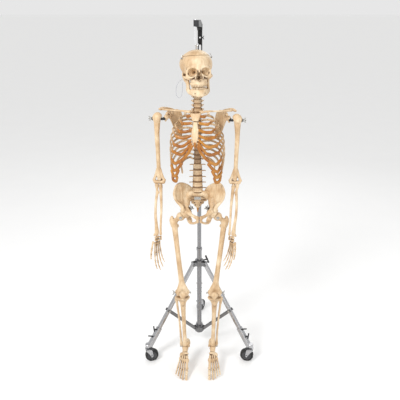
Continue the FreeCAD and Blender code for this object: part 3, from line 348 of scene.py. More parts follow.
# ---------------------------------------------------------------- materials
class Shader:
    """A node material under construction: every texture reads the object's own coordinates."""

    def __init__(self, name, roughness, metallic=0.0, **values):
        self.material = bpy.data.materials.new(name)
        self.material.use_nodes = True
        self.nodes, self.links = self.material.node_tree.nodes, self.material.node_tree.links
        self.bsdf = self.nodes["Principled BSDF"]
        self.bsdf.inputs["Roughness"].default_value = roughness
        self.bsdf.inputs["Metallic"].default_value = metallic
        for key, value in values.items():
            self.bsdf.inputs[key.replace("_", " ")].default_value = value
        self.coords = self.nodes.new("ShaderNodeTexCoord").outputs["Object"]

    def noise(self, scale, detail=3, stretch=(1, 1, 1)):
        mapping = self.nodes.new("ShaderNodeMapping")
        mapping.inputs["Scale"].default_value = stretch
        self.links.new(self.coords, mapping.inputs["Vector"])
        node = self.nodes.new("ShaderNodeTexNoise")
        node.inputs["Scale"].default_value, node.inputs["Detail"].default_value = scale, detail
        self.links.new(mapping.outputs["Vector"], node.inputs["Vector"])
        return node.outputs["Fac"]

    def ramp(self, factor, *stops):
        node = self.nodes.new("ShaderNodeValToRGB")
        ramp = node.color_ramp
        while len(ramp.elements) < len(stops):
            ramp.elements.new(0.5)
        for element, (position, value) in zip(ramp.elements, stops):
            element.position = position
            element.color = (*value, 1) if np.ndim(value) else (value, value, value, 1)
        self.links.new(factor, node.inputs["Fac"])
        return node.outputs["Color"]

    def mix(self, factor, a, b, kind="MIX"):
        node = self.nodes.new("ShaderNodeMix")
        node.data_type, node.blend_type = "RGBA", kind
        for socket, value in ((node.inputs[0], factor), (node.inputs[6], a), (node.inputs[7], b)):
            if isinstance(value, bpy.types.NodeSocket):
                self.links.new(value, socket)
            else:
                socket.default_value = (*value, 1) if np.ndim(value) else value
        return node.outputs[2]

    def attribute(self, name):
        node = self.nodes.new("ShaderNodeAttribute")
        node.attribute_name = name
        return node.outputs["Fac"]

    def bump(self, height, distance, strength=1.0):
        node = self.nodes.new("ShaderNodeBump")
        node.inputs["Distance"].default_value, node.inputs["Strength"].default_value = distance, strength
        self.links.new(height, node.inputs["Height"])
        if self.bsdf.inputs["Normal"].links:
            self.links.new(self.bsdf.inputs["Normal"].links[0].from_socket, node.inputs["Normal"])
        self.links.new(node.outputs["Normal"], self.bsdf.inputs["Normal"])

    def colour(self, socket):
        self.links.new(socket, self.bsdf.inputs["Base Color"])

    def roughness(self, socket):
        self.links.new(socket, self.bsdf.inputs["Roughness"])


def plain_material(name, colour, roughness):
    s = Shader(name, roughness)
    s.colour(s.ramp(s.noise(3), (0.3, tuple(c * 0.99 for c in colour)), (0.7, colour)))
    return s.material


def finish_bone(s, body, hollow_shade, smoothest, dullest):
    """Painted shade in the hollows, an uneven gloss, fine pores and a shallow grain."""
    # dark brown painted shade, mixed in by how occluded each point is
    shade_mask = s.ramp(s.attribute("hollow"), (0.10, 0.0), (0.26, 0.46), (0.56, 0.96))
    s.colour(s.mix(shade_mask, body, hollow_shade))
    s.roughness(s.ramp(s.noise(60), (0.35, smoothest), (0.7, dullest)))
    s.bump(s.noise(900, 2), 0.0003, 0.5)
    s.bump(s.noise(190, 4), 0.0007, 0.45)
    return s.material


def bone_material(name, dark, mid, light, hollow_shade, gloss=0.46):
    """Cast bone: mottled cream and tan, brown painted shade in its hollows, fine pores."""
    s = Shader(name, gloss, Coat_Weight=0.05, Coat_Roughness=0.4)
    broad = s.ramp(s.noise(17, 5), (0.30, dark), (0.48, mid), (0.66, light))
    streak = s.ramp(s.noise(120, 4, (1, 1, 0.28)), (0.35, (0.72, 0.66, 0.58)), (0.6, (1, 1, 1)))
    body = s.mix(0.55, broad, streak, "MULTIPLY")
    return finish_bone(s, body, hollow_shade, gloss - 0.08, gloss + 0.12)


def rib_material(name, bone_colours, amber_colours, hollow_shade):
    """Bone that deepens to amber towards each rib's front end."""
    s = Shader(name, 0.42, Coat_Weight=0.05, Coat_Roughness=0.4)
    broad, deep = s.noise(14, 4), s.noise(60, 4, (1, 1, 0.5))
    split = s.nodes.new("ShaderNodeSeparateXYZ")
    s.links.new(s.coords, split.inputs[0])
    front = s.nodes.new("ShaderNodeMapRange")
    for key, value in (("From Min", AMBER_FROM), ("From Max", AMBER_TO), ("To Min", 0.0), ("To Max", 1.0)):
        front.inputs[key].default_value = value
    s.links.new(split.outputs["Y"], front.inputs["Value"])
    bare = s.ramp(broad, *zip((0.34, 0.5, 0.66), bone_colours))
    amber = s.ramp(deep, *zip((0.34, 0.5, 0.66), amber_colours))
    body = s.mix(front.outputs["Result"], bare, amber)
    # the last colour passed in is the painted shade in the hollows
    return finish_bone(s, body, hollow_shade, 0.34, 0.52)


def metal_material(name, low, high, rough_low, rough_high, metallic=1.0, stretch=(1, 1, 0.04), scale=700):
    """Metal with fine drawn lines along Z, or an even grain, in its roughness and colour."""
    s = Shader(name, rough_low, metallic)
    grain = s.noise(scale, 3, stretch)
    s.colour(s.ramp(grain, (0.35, low), (0.65, high)))
    s.roughness(s.ramp(s.noise(40), (0.3, rough_low), (0.7, rough_high)))
    s.bump(grain, 0.0001, 0.08)
    return s.material


def enamel_material(name, low, high, rough, peel=0.0003, coat=0.2):
    """Stoved paint or moulding: a faint orange peel and a little dust-pale mottling."""
    s = Shader(name, rough, Coat_Weight=coat, Coat_Roughness=0.2)
    s.colour(s.ramp(s.noise(24, 5), (0.35, low), (0.7, high)))
    s.roughness(s.ramp(s.noise(90), (0.3, rough - 0.06), (0.7, rough + 0.12)))
    s.bump(s.noise(520, 2), peel, 0.5)
    return s.material


def make_materials():
    # each bone material's last colour is the painted shade in its hollows
    return {
        "bone": bone_material("bone", (0.53, 0.35, 0.19), (0.68, 0.49, 0.295), (0.80, 0.645, 0.445),
                              (0.105, 0.042, 0.014)),
        "bone_dark": bone_material("bone_dark", (0.34, 0.21, 0.11), (0.50, 0.34, 0.20), (0.64, 0.49, 0.32),
                                   (0.085, 0.042, 0.02), 0.55),
        "teeth": bone_material("teeth", (0.55, 0.40, 0.24), (0.66, 0.50, 0.32), (0.74, 0.60, 0.42),
                               (0.20, 0.10, 0.04), 0.3),
        "amber": bone_material("amber", (0.26, 0.080, 0.008), (0.40, 0.145, 0.016), (0.54, 0.245, 0.040),
                               (0.22, 0.06, 0.01), 0.34),
        "rib": rib_material("rib", ((0.40, 0.25, 0.12), (0.60, 0.42, 0.24), (0.74, 0.58, 0.38)),
                            ((0.26, 0.085, 0.010), (0.40, 0.155, 0.022), (0.56, 0.28, 0.065)),
                            (0.09, 0.032, 0.009)),
        "disc": bone_material("disc", (0.30, 0.17, 0.08), (0.40, 0.25, 0.13), (0.50, 0.34, 0.19),
                              (0.10, 0.045, 0.018), 0.4),
        "bright": metal_material("bright", (0.78, 0.79, 0.80), (0.90, 0.90, 0.91), 0.10, 0.2),
        "chrome": metal_material("chrome", (0.44, 0.44, 0.45), (0.50, 0.50, 0.51), 0.22, 0.32),
        "tube": metal_material("tube", (0.27, 0.27, 0.28), (0.32, 0.32, 0.33), 0.24, 0.34),
        "steel": metal_material("steel", (0.20, 0.20, 0.205), (0.26, 0.26, 0.265), 0.34, 0.46),
        "zinc": metal_material("zinc", (0.42, 0.41, 0.39), (0.62, 0.61, 0.58), 0.28, 0.46, stretch=(1, 1, 1)),
        "black": enamel_material("black", (0.008, 0.008, 0.009), (0.022, 0.022, 0.024), 0.32),
        "rubber": enamel_material("rubber", (0.010, 0.010, 0.010), (0.030, 0.029, 0.028), 0.68, 0.0006, 0.0),
        "grey_plastic": enamel_material("grey_plastic", (0.030, 0.030, 0.032), (0.06, 0.06, 0.064), 0.45,
                                        0.0003, 0.1),
        "nylon": enamel_material("nylon", (0.34, 0.35, 0.39), (0.46, 0.47, 0.51), 0.25, 0.0001, 0.4),
    }


SLOTS = {"bright": "steel_rod", "chrome": "steel_tube", "tube": "steel_tube", "steel": "steel_tube",
         "zinc": "steel_rod", "black": "black_steel",
         "rubber": "black_rubber", "grey_plastic": "cast_dark", "nylon": "nylon", "amber": "cartilage",
         "disc": "disc"}


def bone(clay, name, body, *nodes, material="bone", at=None, rounds=2, shallow=0.0):
    """Skins the clay, carries it from its own frame (rotation, origin) and rides it on its body."""
    verts, quads, hollow = clay.skin(rounds)
    # occlusion below shallow paints no shade
    hollow = np.maximum(hollow - shallow, 0)
    if at is not None:
        verts = verts @ at[0].T + at[1]
    return place(set_mesh(name, verts, quads, hollow), body, MATERIALS[material],
                 SLOTS.get(material, "bone"), *nodes)


# ---------------------------------------------------------------- skull
# in the head's own frame: X left, -Y face, Z up
JAW_AXIS = arr(0, -10, -6)
CATCH_Y, CATCH_Z, CATCH_HOLE = -26, 78, 3.2  # the line through the cap's two catches
ROD_HOLE, SAW_HALF = 4.4, 0.35


def head_frame():
    """The head's turn and origin, from the jaw's hinge and the cap's two catches."""
    x = axis_of("jaw_open")
    catches = (pivot("cap_catch_turn_right") + pivot("cap_catch_turn_left")) / 2
    rise = unit(catches - pivot("jaw_open"))
    back, up = unit(arr(0, CATCH_Y, CATCH_Z) - JAW_AXIS)[1:]
    z = up * rise + back * np.cross(x, rise)
    turn = np.stack([x, np.cross(z, x), z], 1)
    return turn, pivot("jaw_open") - turn @ JAW_AXIS


CAP_CUT = 86  # the sawn line above the ears
BRAIN = (arr(0, -5, 50), arr(73.5, 90, 65.5))
HOLLOW = (arr(0, 0, 54), arr(66, 80, 54))


def tooth_row(clay, widths, depth, height, z, arch):
    """Teeth side by side round an arch, from its middle outwards."""
    line = curve_through(arch, 1.0)
    length = np.concatenate([[0], np.cumsum(np.linalg.norm(np.diff(line, axis=0), axis=1))])
    for s in (-1, 1):
        run = 0.0
        for i, width in enumerate(widths):
            spot = run + width / 2
            x, y = (np.interp(spot, length, line[:, k]) for k in (0, 1))
            ahead = [np.interp(spot + 1, length, line[:, k]) - v for k, v in ((0, x), (1, y))]
            along = unit((s * ahead[0], ahead[1], 0))
            turn = np.stack([along, np.cross(UP, along), UP])
            thick = depth[0] if i < 3 else depth[1]
            lift = noise.noise((i * 1.7, s * 3.1, z)) * 0.8
            clay.egg((s * x, y, z + lift), (width * 0.52, thick, height), 0.4, turn)
            run += width


def vault(c):
    c.egg(*BRAIN, 0)
    c.egg((0, -38, 50), (60, 56, 58), 10)
    c.egg((0, 44, 32), (54, 43, 44), 10)
    for s in (-1, 1):
        c.egg((s * 34, 18, 56), (40, 44, 42), 12)
        c.egg((s * 87, -50, 22), (28, 30, 40), 12, cut=True)


def make_head():
    at = head_frame()
    rod_a, rod_b = (at[0].T @ (pivot("skull_turn") + t * axis_of("skull_turn") - at[1]) for t in (-200, 200))
    c = Clay((-80, -112, -56), (80, 90, 120), 1.5)
    vault(c)
    c.egg((0, -60, 12), (48, 33, 28), 8)
    c.egg((0, -62, -18), (39, 30, 22), 8)
    c.egg((0, -22, -4), (36, 40, 15), 8)
    c.egg((0, -92, 29), (13, 7, 9), 5)
    c.egg((0, 86, 14), (9, 4, 6), 6)
    for s in (-1, 1):
        c.rope([(s * 6, -89, 31), (s * 24, -88, 35), (s * 42, -78, 31), (s * 51, -71, 20)], [6, 6, 5.5, 5], 9)
        c.rope([(s * 51, -74, 19), (s * 53, -71, 8), (s * 49, -70, -6)], [5, 4.5, 7], 4)
        c.egg((s * 45, -69, -8), (13, 12, 11), 7)
        c.rope([(s * 46, -77, -7), (s * 30, -88, -8), (s * 17, -92, 0)], [4.5, 4.5, 4], 4)
        c.rope([(s * 9, -91, 24), (s * 14, -93, 8), (s * 18, -91, -14)], [4, 4, 4.5], 4)
        c.rope([(s * 50, -64, -8), (s * 62, -46, -6), (s * 67, -28, -3), (s * 65, -10, 2), (s * 60, 4, 6)],
               [7.5, 5.5, 5, 5.5, 8], 4, thin=(1, 0, 0), flat=1.5)
        c.rope([(s * 54, 11, 8), (s * 52, 9, -12), (s * 48, 5, -27)], [14, 11.5, 6], 6)
        c.rope([(s * 40, -6, -12), (s * 37, -13, -38)], [3, 1.7], 2)
        c.egg((s * 28, -34, -29), (8, 8, 21), 6)
        c.egg((s * 13, 2, -17), (7, 11, 6), 3)
        c.rope([(s * 24, -44, -12), (s * 20, -38, -38)], [10, 6], 5, thin=(1, 0, 0), flat=1.4)
        c.egg((s * 26, -97, -14), (8, 5, 8), 9, cut=True)
    arch = [(-32, -44, -35), (-31, -64, -36), (-20, -81, -37), (0, -90, -37), (20, -81, -37), (31, -64, -36),
            (32, -44, -35)]
    c.rope(arch, 8, 6)
    c.egg((0, -66, -26), (34, 25, 13), 8)
    c.egg((0, -60, -36), (19, 24, 7), 6, cut=True)
    for s in (-1, 1):
        tilt = math.radians(8 * s)
        turn = arr((math.cos(tilt), 0, -math.sin(tilt)), (0, 1, 0), (math.sin(tilt), 0, math.cos(tilt)))
        c.egg((s * 30, -88, 14.5), (20, 26, 17), 3, turn, cut=True)
        c.rope([(s * 28, -78, 14), (s * 17, -56, 12)], [13, 5], 4, cut=True)
        c.egg((s * 52, -10, -9), (13, 9.5, 8), 2, cut=True)
        c.egg((s * 66, 6, 1), (12, 4, 4.5), 1, cut=True)
    c.egg((0, -92, -10), (13.5, 26, 15), 3, cut=True)
    c.egg((0, -90, 7), (8.5, 20, 12), 3, cut=True)
    c.rope([(0, -90, 32), (0, -97, 22), (0, -101, 15)], [5.5, 4.6, 3.2], 4)
    c.rope([(0, -86, -23), (0, -95, -24)], [3.4, 1.4], 2)
    c.rope([(0, -68, 10), (0, -70, -22)], [5, 5], 1, thin=(1, 0, 0), flat=3)
    for s in (-1, 1):
        c.rope([(s * 10, -84, -9), (s * 9, -62, -8)], [3, 3], 2)
    c.egg(*HOLLOW, 0, cut=True)
    c.rope([(0, 14, -34), (0, 14, 12)], 14, 3, cut=True)
    c.rope([rod_a, rod_b], ROD_HOLE, 0, cut=True)
    c.rope([(-90, CATCH_Y, CATCH_Z), (90, CATCH_Y, CATCH_Z)], CATCH_HOLE, 0, cut=True)
    c.halve((0, 0, CAP_CUT - SAW_HALF), (0, 0, 1))
    bone(c, "skull_with_face", "skull", "cranium", at=at)
    cap = Clay((-70, -90, 80), (70, 82, 120), 1.5)
    vault(cap)
    cap.egg(*HOLLOW, 0, cut=True)
    cap.rope([rod_a, rod_b], ROD_HOLE, 0, cut=True)
    cap.halve((0, 0, CAP_CUT + SAW_HALF), (0, 0, -1))
    bone(cap, "calvarium", "cap", "skull_cap", at=at)
    teeth_arch = [(0, -92, 0), (13, -88.5, 0), (24, -78, 0), (31, -62, 0), (32.5, -44, 0)]
    upper = Clay((-40, -102, -56), (40, -40, -34), 0.85)
    tooth_row(upper, (9, 7.2, 8.2, 7.4, 7.2, 10.4, 9.8), (3.6, 4.8), 7.0, -45, teeth_arch)
    bone(upper, "upper_teeth", "skull", material="teeth", at=at, rounds=1)
    make_jaw(at)


def make_jaw(at):
    j = Clay((-66, -106, -104), (66, 12, 2), 1.5)
    half = [(48, -16, -60), (43, -38, -71), (30, -66, -79), (14, -82, -82), (0, -86, -82)]
    whole = [(-x, y, z) for x, y, z in half[:-1]] + half[::-1]
    j.rope(whole, 11, 0, thin="wall", flat=1.45)
    gum = [(32, -42, -66), (30, -62, -68), (20, -78, -70), (0, -85, -71)]
    j.rope([(-x, y, z) for x, y, z in gum[:-1]] + gum[::-1], 8, 6)
    j.egg((0, -91, -86), (14, 6, 8), 6)
    for s in (-1, 1):
        j.egg((s * 10, -89, -90), (8, 5, 4.5), 4)
        j.rope([(s * 47, -20, -62), (s * 50, -17, -42), (s * 52, -13, -24)], [15, 13, 8], 5, thin=(1, 0, 0),
               flat=2.9)
        j.egg((s * 47, -10, -64), (5.5, 12, 12), 5)
        j.rope([(s * 45, -34, -68), (s * 46, -33, -46), (s * 47, -34, -24)], [9, 9, 6], 5, thin=(1, 0, 0),
               flat=1.3)
        j.rope([(s * 50, -25, -38), (s * 49, -34, -18), (s * 48, -37, -7)], [8, 6, 2.6], 4, thin=(1, 0, 0),
               flat=2)
        j.rope([(s * 52, -11, -26), (s * 52, -10, -15)], [5.5, 4.6], 4)
        j.egg((s * 52, -10, -13.5), (9, 4.6, 4.8), 3)
        j.egg((s * 22, -81, -80), (2.2, 6, 2.2), 1, cut=True)
    bone(j, "jawbone", "jaw", "mandible", at=at)
    teeth_arch = [(0, -89, 0), (12, -86, 0), (22, -76, 0), (29, -61, 0), (30.5, -42, 0)]
    lower = Clay((-40, -100, -72), (40, -38, -50), 0.85)
    tooth_row(lower, (6, 6.6, 7.4, 7.4, 7.6, 11.4, 10.8), (3.2, 4.6), 7.0, -60, teeth_arch)
    bone(lower, "lower_teeth", "jaw", material="teeth", at=at, rounds=1)


# ---------------------------------------------------------------- spine
def middle(node):
    low, high = node_box(node)
    return (low + high) / 2


# height and depth of the vertebral bodies' middles, from the atlas to the sacrum
SPINE_LINE = [(1578, -166), (1520, -171), (1447, -160), (1370, -141), (1290, -134), (1197, -148),
              (1103, -164),
              (1045, -160), (1028, -156)]
# top, bottom, count, share that is bone, widths, depths, spinous lengths, half spans across, drop
REGIONS = {
    "cervical": (1585, 1437, 7, 0.74, (32, 38), (16, 18), (10, 22), (26, 29), 1.5),
    "thoracic": (1437, 1182, 12, 0.78, (27, 39), (18, 28), (22, 20), (24, 20), 9),
    "lumbar": (1182, 1030, 5, 0.80, (47, 55), (29, 33), (22, 20), (38, 42), 1.5),
}


SPINE_X = middle("lumbar_vertebrae")[0]
TURN_Y = -145  # the chest turns about an upright line through the spine here


def spine_y(z):
    heights, depths = zip(*SPINE_LINE[::-1])
    return float(np.interp(z, heights, depths))


def levels(region):
    """Middle height, pitch and share down the region of each vertebra."""
    top, bottom, count = REGIONS[region][:3]
    pitch = (top - bottom) / count
    return [(top - (i + 0.5) * pitch, pitch, i / (count - 1)) for i in range(count)]


def span(pair, t):
    return pair[0] + (pair[1] - pair[0]) * t


def drum(c, x, y, z, width, depth, height, waist):
    """A vertebral body: rims above and below a drawn-in waist."""
    for level, share in ((-0.5, 1.0), (0, 1 - waist), (0.5, 1.0)):
        thick = height * (0.17 if level else 0.5)
        c.egg((x, y, z + level * (height - 2 * thick)), (width / 2 * share, depth / 2 * share, thick),
              height * 0.3)


def vertebra(c, region, z, pitch, t):
    _, _, _, share, widths, depths, spinous, across, drop = REGIONS[region]
    x, y, height = SPINE_X, spine_y(z), pitch * share
    width, depth, reach, wide = span(widths, t), span(depths, t), span(spinous, t), span(across, t)
    drum(c, x, y, z, width, depth, height, 0.10)
    canal = 7.5 + depth * 0.05
    ring = y + depth / 2 + canal - 0.8
    thick = height * 0.26
    back = ring + canal + 3
    for s in (-1, 1):
        c.rope([(x + s * width * 0.30, y + depth * 0.32, z + height * 0.12),
                (x + s * (canal + 2.4), ring - 2, z + 1),
                (x + s * (canal + 0.5), ring + canal * 0.7, z), (x + s * 3, back, z - 1)],
               [thick, 3.6, 3.6, 3.4], 2)
        c.egg((x + s * (canal + 3.4), ring + 2, z + height * 0.42), (4.2, 3.4, 5.2), 2.2)
        c.egg((x + s * (canal + 3.0), ring + 4, z - height * 0.42), (4.0, 3.2, 5.6), 2.2)
        tip = (x + s * wide, ring + (8 if region == "thoracic" else 3),
               z + (3 if region == "thoracic" else 0))
        c.rope([(x + s * (canal + 3), ring + 1, z), (x + s * (canal + wide) * 0.5, ring + 3, z + 1), tip],
               [4, 2.9, 4.2 if region == "thoracic" else 2.8], 2, thin=(0, 1, 0), flat=1.25)
        if region == "cervical":
            c.egg((x + s * width * 0.52, ring - 6, z), (7, 6.5, height * 0.52), 2.5)
    tall = {"cervical": 3.4, "thoracic": 4.6, "lumbar": 8.0}[region]
    c.rope([(x, back - 1, z - 1), (x, back + reach * 0.55, z - drop * 0.6 - 1),
            (x, back + reach, z - drop - 2)],
           [tall * 0.9, tall, tall * 1.05], 2.5, thin=(1, 0, 0), flat=2.0 if region == "lumbar" else 1.55)


def make_spine():
    names = {"cervical": "neck_vertebrae", "thoracic": "chest_vertebrae", "lumbar": "loin_vertebrae"}
    discs = Clay((SPINE_X - 30, -195, 1024), (SPINE_X + 30, -110, 1586), 1.5)
    for region, name in names.items():
        top, bottom = REGIONS[region][:2]
        low_y, high_y = min(d for _, d in SPINE_LINE) - 22, -78
        c = Clay((SPINE_X - 48, low_y, bottom - 14), (SPINE_X + 48, high_y, top + 12), 1.35)
        for z, pitch, t in levels(region):
            vertebra(c, region, z, pitch, t)
            height = pitch * REGIONS[region][3]
            gap = (pitch - height) * 0.5 + 0.6
            mid = z - pitch / 2
            width, depth = span(REGIONS[region][4], t), span(REGIONS[region][5], t)
            for rise in (-gap * 0.45, gap * 0.45):
                discs.egg((SPINE_X, spine_y(mid), mid + rise), (width * 0.49, depth * 0.48, gap * 0.95), 1)
        for z, pitch, t in levels(region):
            c.rope([(SPINE_X, spine_y(z) + back_of_canal(z), z - 9),
                    (SPINE_X, spine_y(z) + back_of_canal(z), z + 9)],
                   3.4, 0.5, cut=True)
        bone(c, name, "trunk", f"{region}_vertebrae",
             material="bone_dark" if region == "thoracic" else "bone",
             shallow=0.22)
    bone(discs, "spinal_discs", "trunk", "discs", material="disc")


def back_of_canal(z):
    """How far the spinal rod runs behind the bodies' middles."""
    return float(np.interp(z, (1060, 1120, 1200, 1290, 1380, 1440, 1500, 1590),
                           (25.5, 24, 22.4, 21, 18.2, 16.8, 16.7, 15.0)))


def make_sacrum():
    x, y = SPINE_X, spine_y(1030)
    c = Clay((x - 62, y - 26, 930), (x + 62, y + 64, 1036), 1.5)
    rows = [(1018, 2, 27, 16, 54), (996, 14, 25, 13, 50), (974, 25, 22, 10.5, 40), (956, 30, 16, 8, 27),
            (942, 31, 9, 6.5, 14)]
    for z, back, half, deep, wide in rows:
        c.egg((x, y + back, z), (half, deep, 13), 9)
        c.rope([(x - wide, y + back + 5, z + 3), (x, y + back + 2, z), (x + wide, y + back + 5, z + 3)],
               [deep * 0.8, deep * 0.95, deep * 0.8], 10, thin=(0, 1, 0), flat=1.25)
        c.egg((x, y + back + deep + 3, z), (3.2, 6, 6), 4)
    c.egg((x, y, 1026), (24, 16, 7), 4)
    for s in (-1, 1):
        c.rope([(x + s * 18, y + 2, 1024), (x + s * 38, y - 2, 1020), (x + s * 50, y + 4, 1000)],
               [11, 15, 13], 8)
        for (z0, b0, h0, *_), (z1, b1, h1, *_) in zip(rows, rows[1:]):
            mid = (x + s * (h0 + h1) * 0.42, y + (b0 + b1) / 2, (z0 + z1) / 2)
            c.rope([(mid[0], mid[1] - 22, mid[2]), (mid[0], mid[1] + 24, mid[2])], 3.0, 2, cut=True)
    for k in range(4):
        z = 1008 - 21 * k
        c.rope([(x - 20, y + 2 + 10 * k - (16 - 2 * k), z), (x + 20, y + 2 + 10 * k - (16 - 2 * k), z)], 0.8,
               2, cut=True)
    c.rope([(x, y + 26, 1045), (x, y + 27, 1003)], 4.2, 1, cut=True)
    bone(c, "sacral_bone", "trunk", "sacrum", shallow=0.16)
    tail = Clay((x - 14, y + 4, 905), (x + 14, y + 44, 950), 1.1)
    for z, back, half in ((938, 30, 8), (930, 28, 6), (923, 25, 4.8), (916.5, 21.5, 3.6)):
        tail.egg((x, y + back, z), (half, half * 0.7, 5), 1.6)
    bone(tail, "tail_bone", "trunk", material="amber")


# ---------------------------------------------------------------- chest
# built facing straight ahead and then turned
# per rib: half width, then the front end's x, y and z
RIBS = [(56, 40, -222, 1428), (84, 58, -246, 1398), (104, 74, -250, 1361), (118, 88, -248, 1336),
        (127, 101, -244, 1297), (131, 109, -238, 1261), (133, 117, -228, 1219), (133, 121, -214, 1184),
        (130, 122, -204, 1153), (124, 119, -198, 1133), (108, 100, -172, 1122), (84, 78, -142, 1128)]
# where each cartilage reaches the breastbone: x, z and the sag before it
TRUE_ENDS = [(26, 1432), (19, 1402), (17, 1372), (19, 1346), (19, 1326), (16, 1312)]
MARGIN = [[(98, -252, 1207), (66, -266, 1226), (34, -276, 1262), (14, -276, 1298)],
          [(106, -240, 1168), (86, -254, 1181), (64, -264, 1210)],
          [(108, -228, 1136), (95, -242, 1144), (82, -251, 1170)],
          [(114, -214, 1112), (98, -226, 1108), (90, -238, 1132)]]
STERNUM_TOP, STERNUM_ANGLE, STERNUM_LOW = 1448, 1409, 1312


def chest_frame():
    """The chest's turn about the spine, as a rotation and origin."""
    lift = axis_of("shoulder_abduct_right")
    c, s = -lift[1], lift[0]
    turn = arr((c, -s, 0), (s, c, 0), (0, 0, 1))
    axis = arr(SPINE_X, TURN_Y, 0)
    return turn, axis - turn @ axis


def rib_points(i):
    """A rib's path on the left side, from beside its vertebra to its front end."""
    half, end_x, end_y, end_z = RIBS[i]
    mid, pitch, _ = levels("thoracic")[i]
    top, y = mid + pitch * 0.5, spine_y(mid)
    back = y + span((20, 40), min(i, 7) / 7)
    drop, depth = top - end_z, back - end_y
    points = [(span((27, 39), i / 11) / 2 + 6.5, y + 2, top), (half * 0.5, back, top - drop * 0.06),
              (half * 0.84, back - depth * 0.13, top - drop * 0.24),
              (half, back - depth * 0.42, top - drop * 0.52)]
    if depth > 60:
        points.append((span((half, end_x), 0.45), back - depth * 0.74, top - drop * 0.79))
    points.append((end_x, end_y, end_z))
    return points


def sided(points, s):
    """Left-side points, measured from the spine, carried to a side."""
    return [(SPINE_X + s * x, y, z) for x, y, z in points]


def sternum_y(z):
    return span((-232, -272), (STERNUM_TOP - z) / (STERNUM_TOP - STERNUM_LOW))


def cartilage_points(i):
    start = rib_points(i)[-1]
    if i >= 6:
        return [start] + MARGIN[i - 6]
    x, z = TRUE_ENDS[i]
    y, sag = sternum_y(z), (0, 2, 5, 8, 16, 26)[i]
    return [start, (span((x, start[0]), 0.5), y + 4, span((z, start[2]), 0.55) - sag), (x, y, z)]


def make_ribs(at):
    for name, s in SIDES.items():
        c = Clay((SPINE_X + min(s * 144, 0) - 4, -262, 1106), (SPINE_X + max(s * 144, 0) + 4, -78, 1446), 1.6)
        for i in range(12):
            points = sided(rib_points(i), s)
            count = len(points)
            if i == 0:
                c.rope(points, [4.5] + [6.6] * (count - 2) + [7.2], 0.6, thin=(0, 0.3, 1), flat=2.0)
            else:
                tall = [4.8, 5.4] + [6.2] * (count - 4) + [6.8, 7.6]
                c.rope(points, tall[-count:] if count < len(tall) else tall, 0.6, thin="wall", flat=1.75)
            near, next_one = np.array(points[0]), np.array(points[1])
            c.egg(near, (4.6, 4.6, 5.2), 2)
            c.egg(near + (next_one - near) * 0.7, (4.4, 4.4, 5.2), 3)
        bone(c, f"ribs_{name}", "trunk", *(["ribs"] if s > 0 else []), material="rib", at=at)
        g = Clay((SPINE_X + min(s * 130, 0) - 4, -290, 1096), (SPINE_X + max(s * 130, 0) + 4, -190, 1442),
                 1.5)
        for i in range(10):
            points = sided(cartilage_points(i), s)
            tall = np.linspace(8.2, 6.2 if i < 6 else 7.4, len(points))
            g.rope(points, list(tall), 3, thin="wall", flat=1.35)
            line = curve_through(points, 9)
            for spot in line[1:-1]:
                wobble = noise.noise(Vector(spot) * 0.09) * 1.4
                g.egg(spot + arr(0, 0, wobble), (5.2, 4.4, 6.4 + wobble), 3)
        bone(g, f"cartilages_{name}", "trunk", *(["costal_cartilage"] if s > 0 else []), material="amber",
             at=at)


def make_sternum(at):
    c = Clay((SPINE_X - 40, -285, 1285), (SPINE_X + 40, -222, 1462), 1.2)
    top = (SPINE_X, sternum_y(STERNUM_TOP), STERNUM_TOP)
    down = unit((0, -40, STERNUM_LOW - STERNUM_TOP))
    high, long = STERNUM_TOP - STERNUM_ANGLE, STERNUM_TOP - STERNUM_LOW
    slope = 1.04
    c.plate(top, ACROSS, -down, [(-27, 2), (-14, -3), (0, -5), (14, -3), (27, 2), (24, -14),
                                 (13, -high * slope),
                                 (-13, -high * slope), (-24, -14)], 9, 2, round_edge=3.5)
    body = [(-11, -high * slope - 2), (11, -high * slope - 2), (11.5, -62), (15, -84), (16, -112),
            (9, -long * slope),
            (-9, -long * slope), (-16, -112), (-15, -84), (-11.5, -62)]
    c.plate(top, ACROSS, -down, body, 8.5, 1.5, round_edge=3.5)
    for x, z in TRUE_ENDS[1:]:
        for s in (-1, 1):
            c.egg((SPINE_X + s * (x - 3), sternum_y(z), z), (4, 5, 4.5), 4)
    for s in (-1, 1):
        c.egg((SPINE_X + s * 25, sternum_y(1452) + 2, 1453), (9, 6, 6), 5)
    bone(c, "breastbone", "trunk", "sternum", at=at)
    tip = Clay((SPINE_X - 12, -292, 1282), (SPINE_X + 12, -262, 1318), 1.0)
    tip.rope([(SPINE_X, sternum_y(STERNUM_LOW) - 1, STERNUM_LOW + 1), (SPINE_X, -276, 1300),
              (SPINE_X + 1, -276, 1289)],
             [6.5, 5, 2.4], 1, thin=(0, 1, 0), flat=1.9)
    bone(tip, "breastbone_tip", "trunk", material="amber", at=at)


def make_collarbones(at):
    c = Clay((SPINE_X - 175, -252, 1438), (SPINE_X + 175, -160, 1476), 1.5)
    for s in (-1, 1):
        line = sided([(31, -240, 1453), (62, -239, 1457), (96, -220, 1454), (130, -196, 1452),
                      (164, -168, 1449)], s)
        c.rope(line, [7.4, 5.4, 4.8, 5.6, 6.4], 1, thin=(0, 0, 1), flat=1.25)
        c.egg(line[0], (7, 7.5, 7), 3)
        c.egg(np.array(line[3]) + arr(0, 4, -3), (7, 4, 3.5), 4)
    bone(c, "collarbones", "trunk", "clavicles", at=at)


BLADE_TURN = math.radians(34)


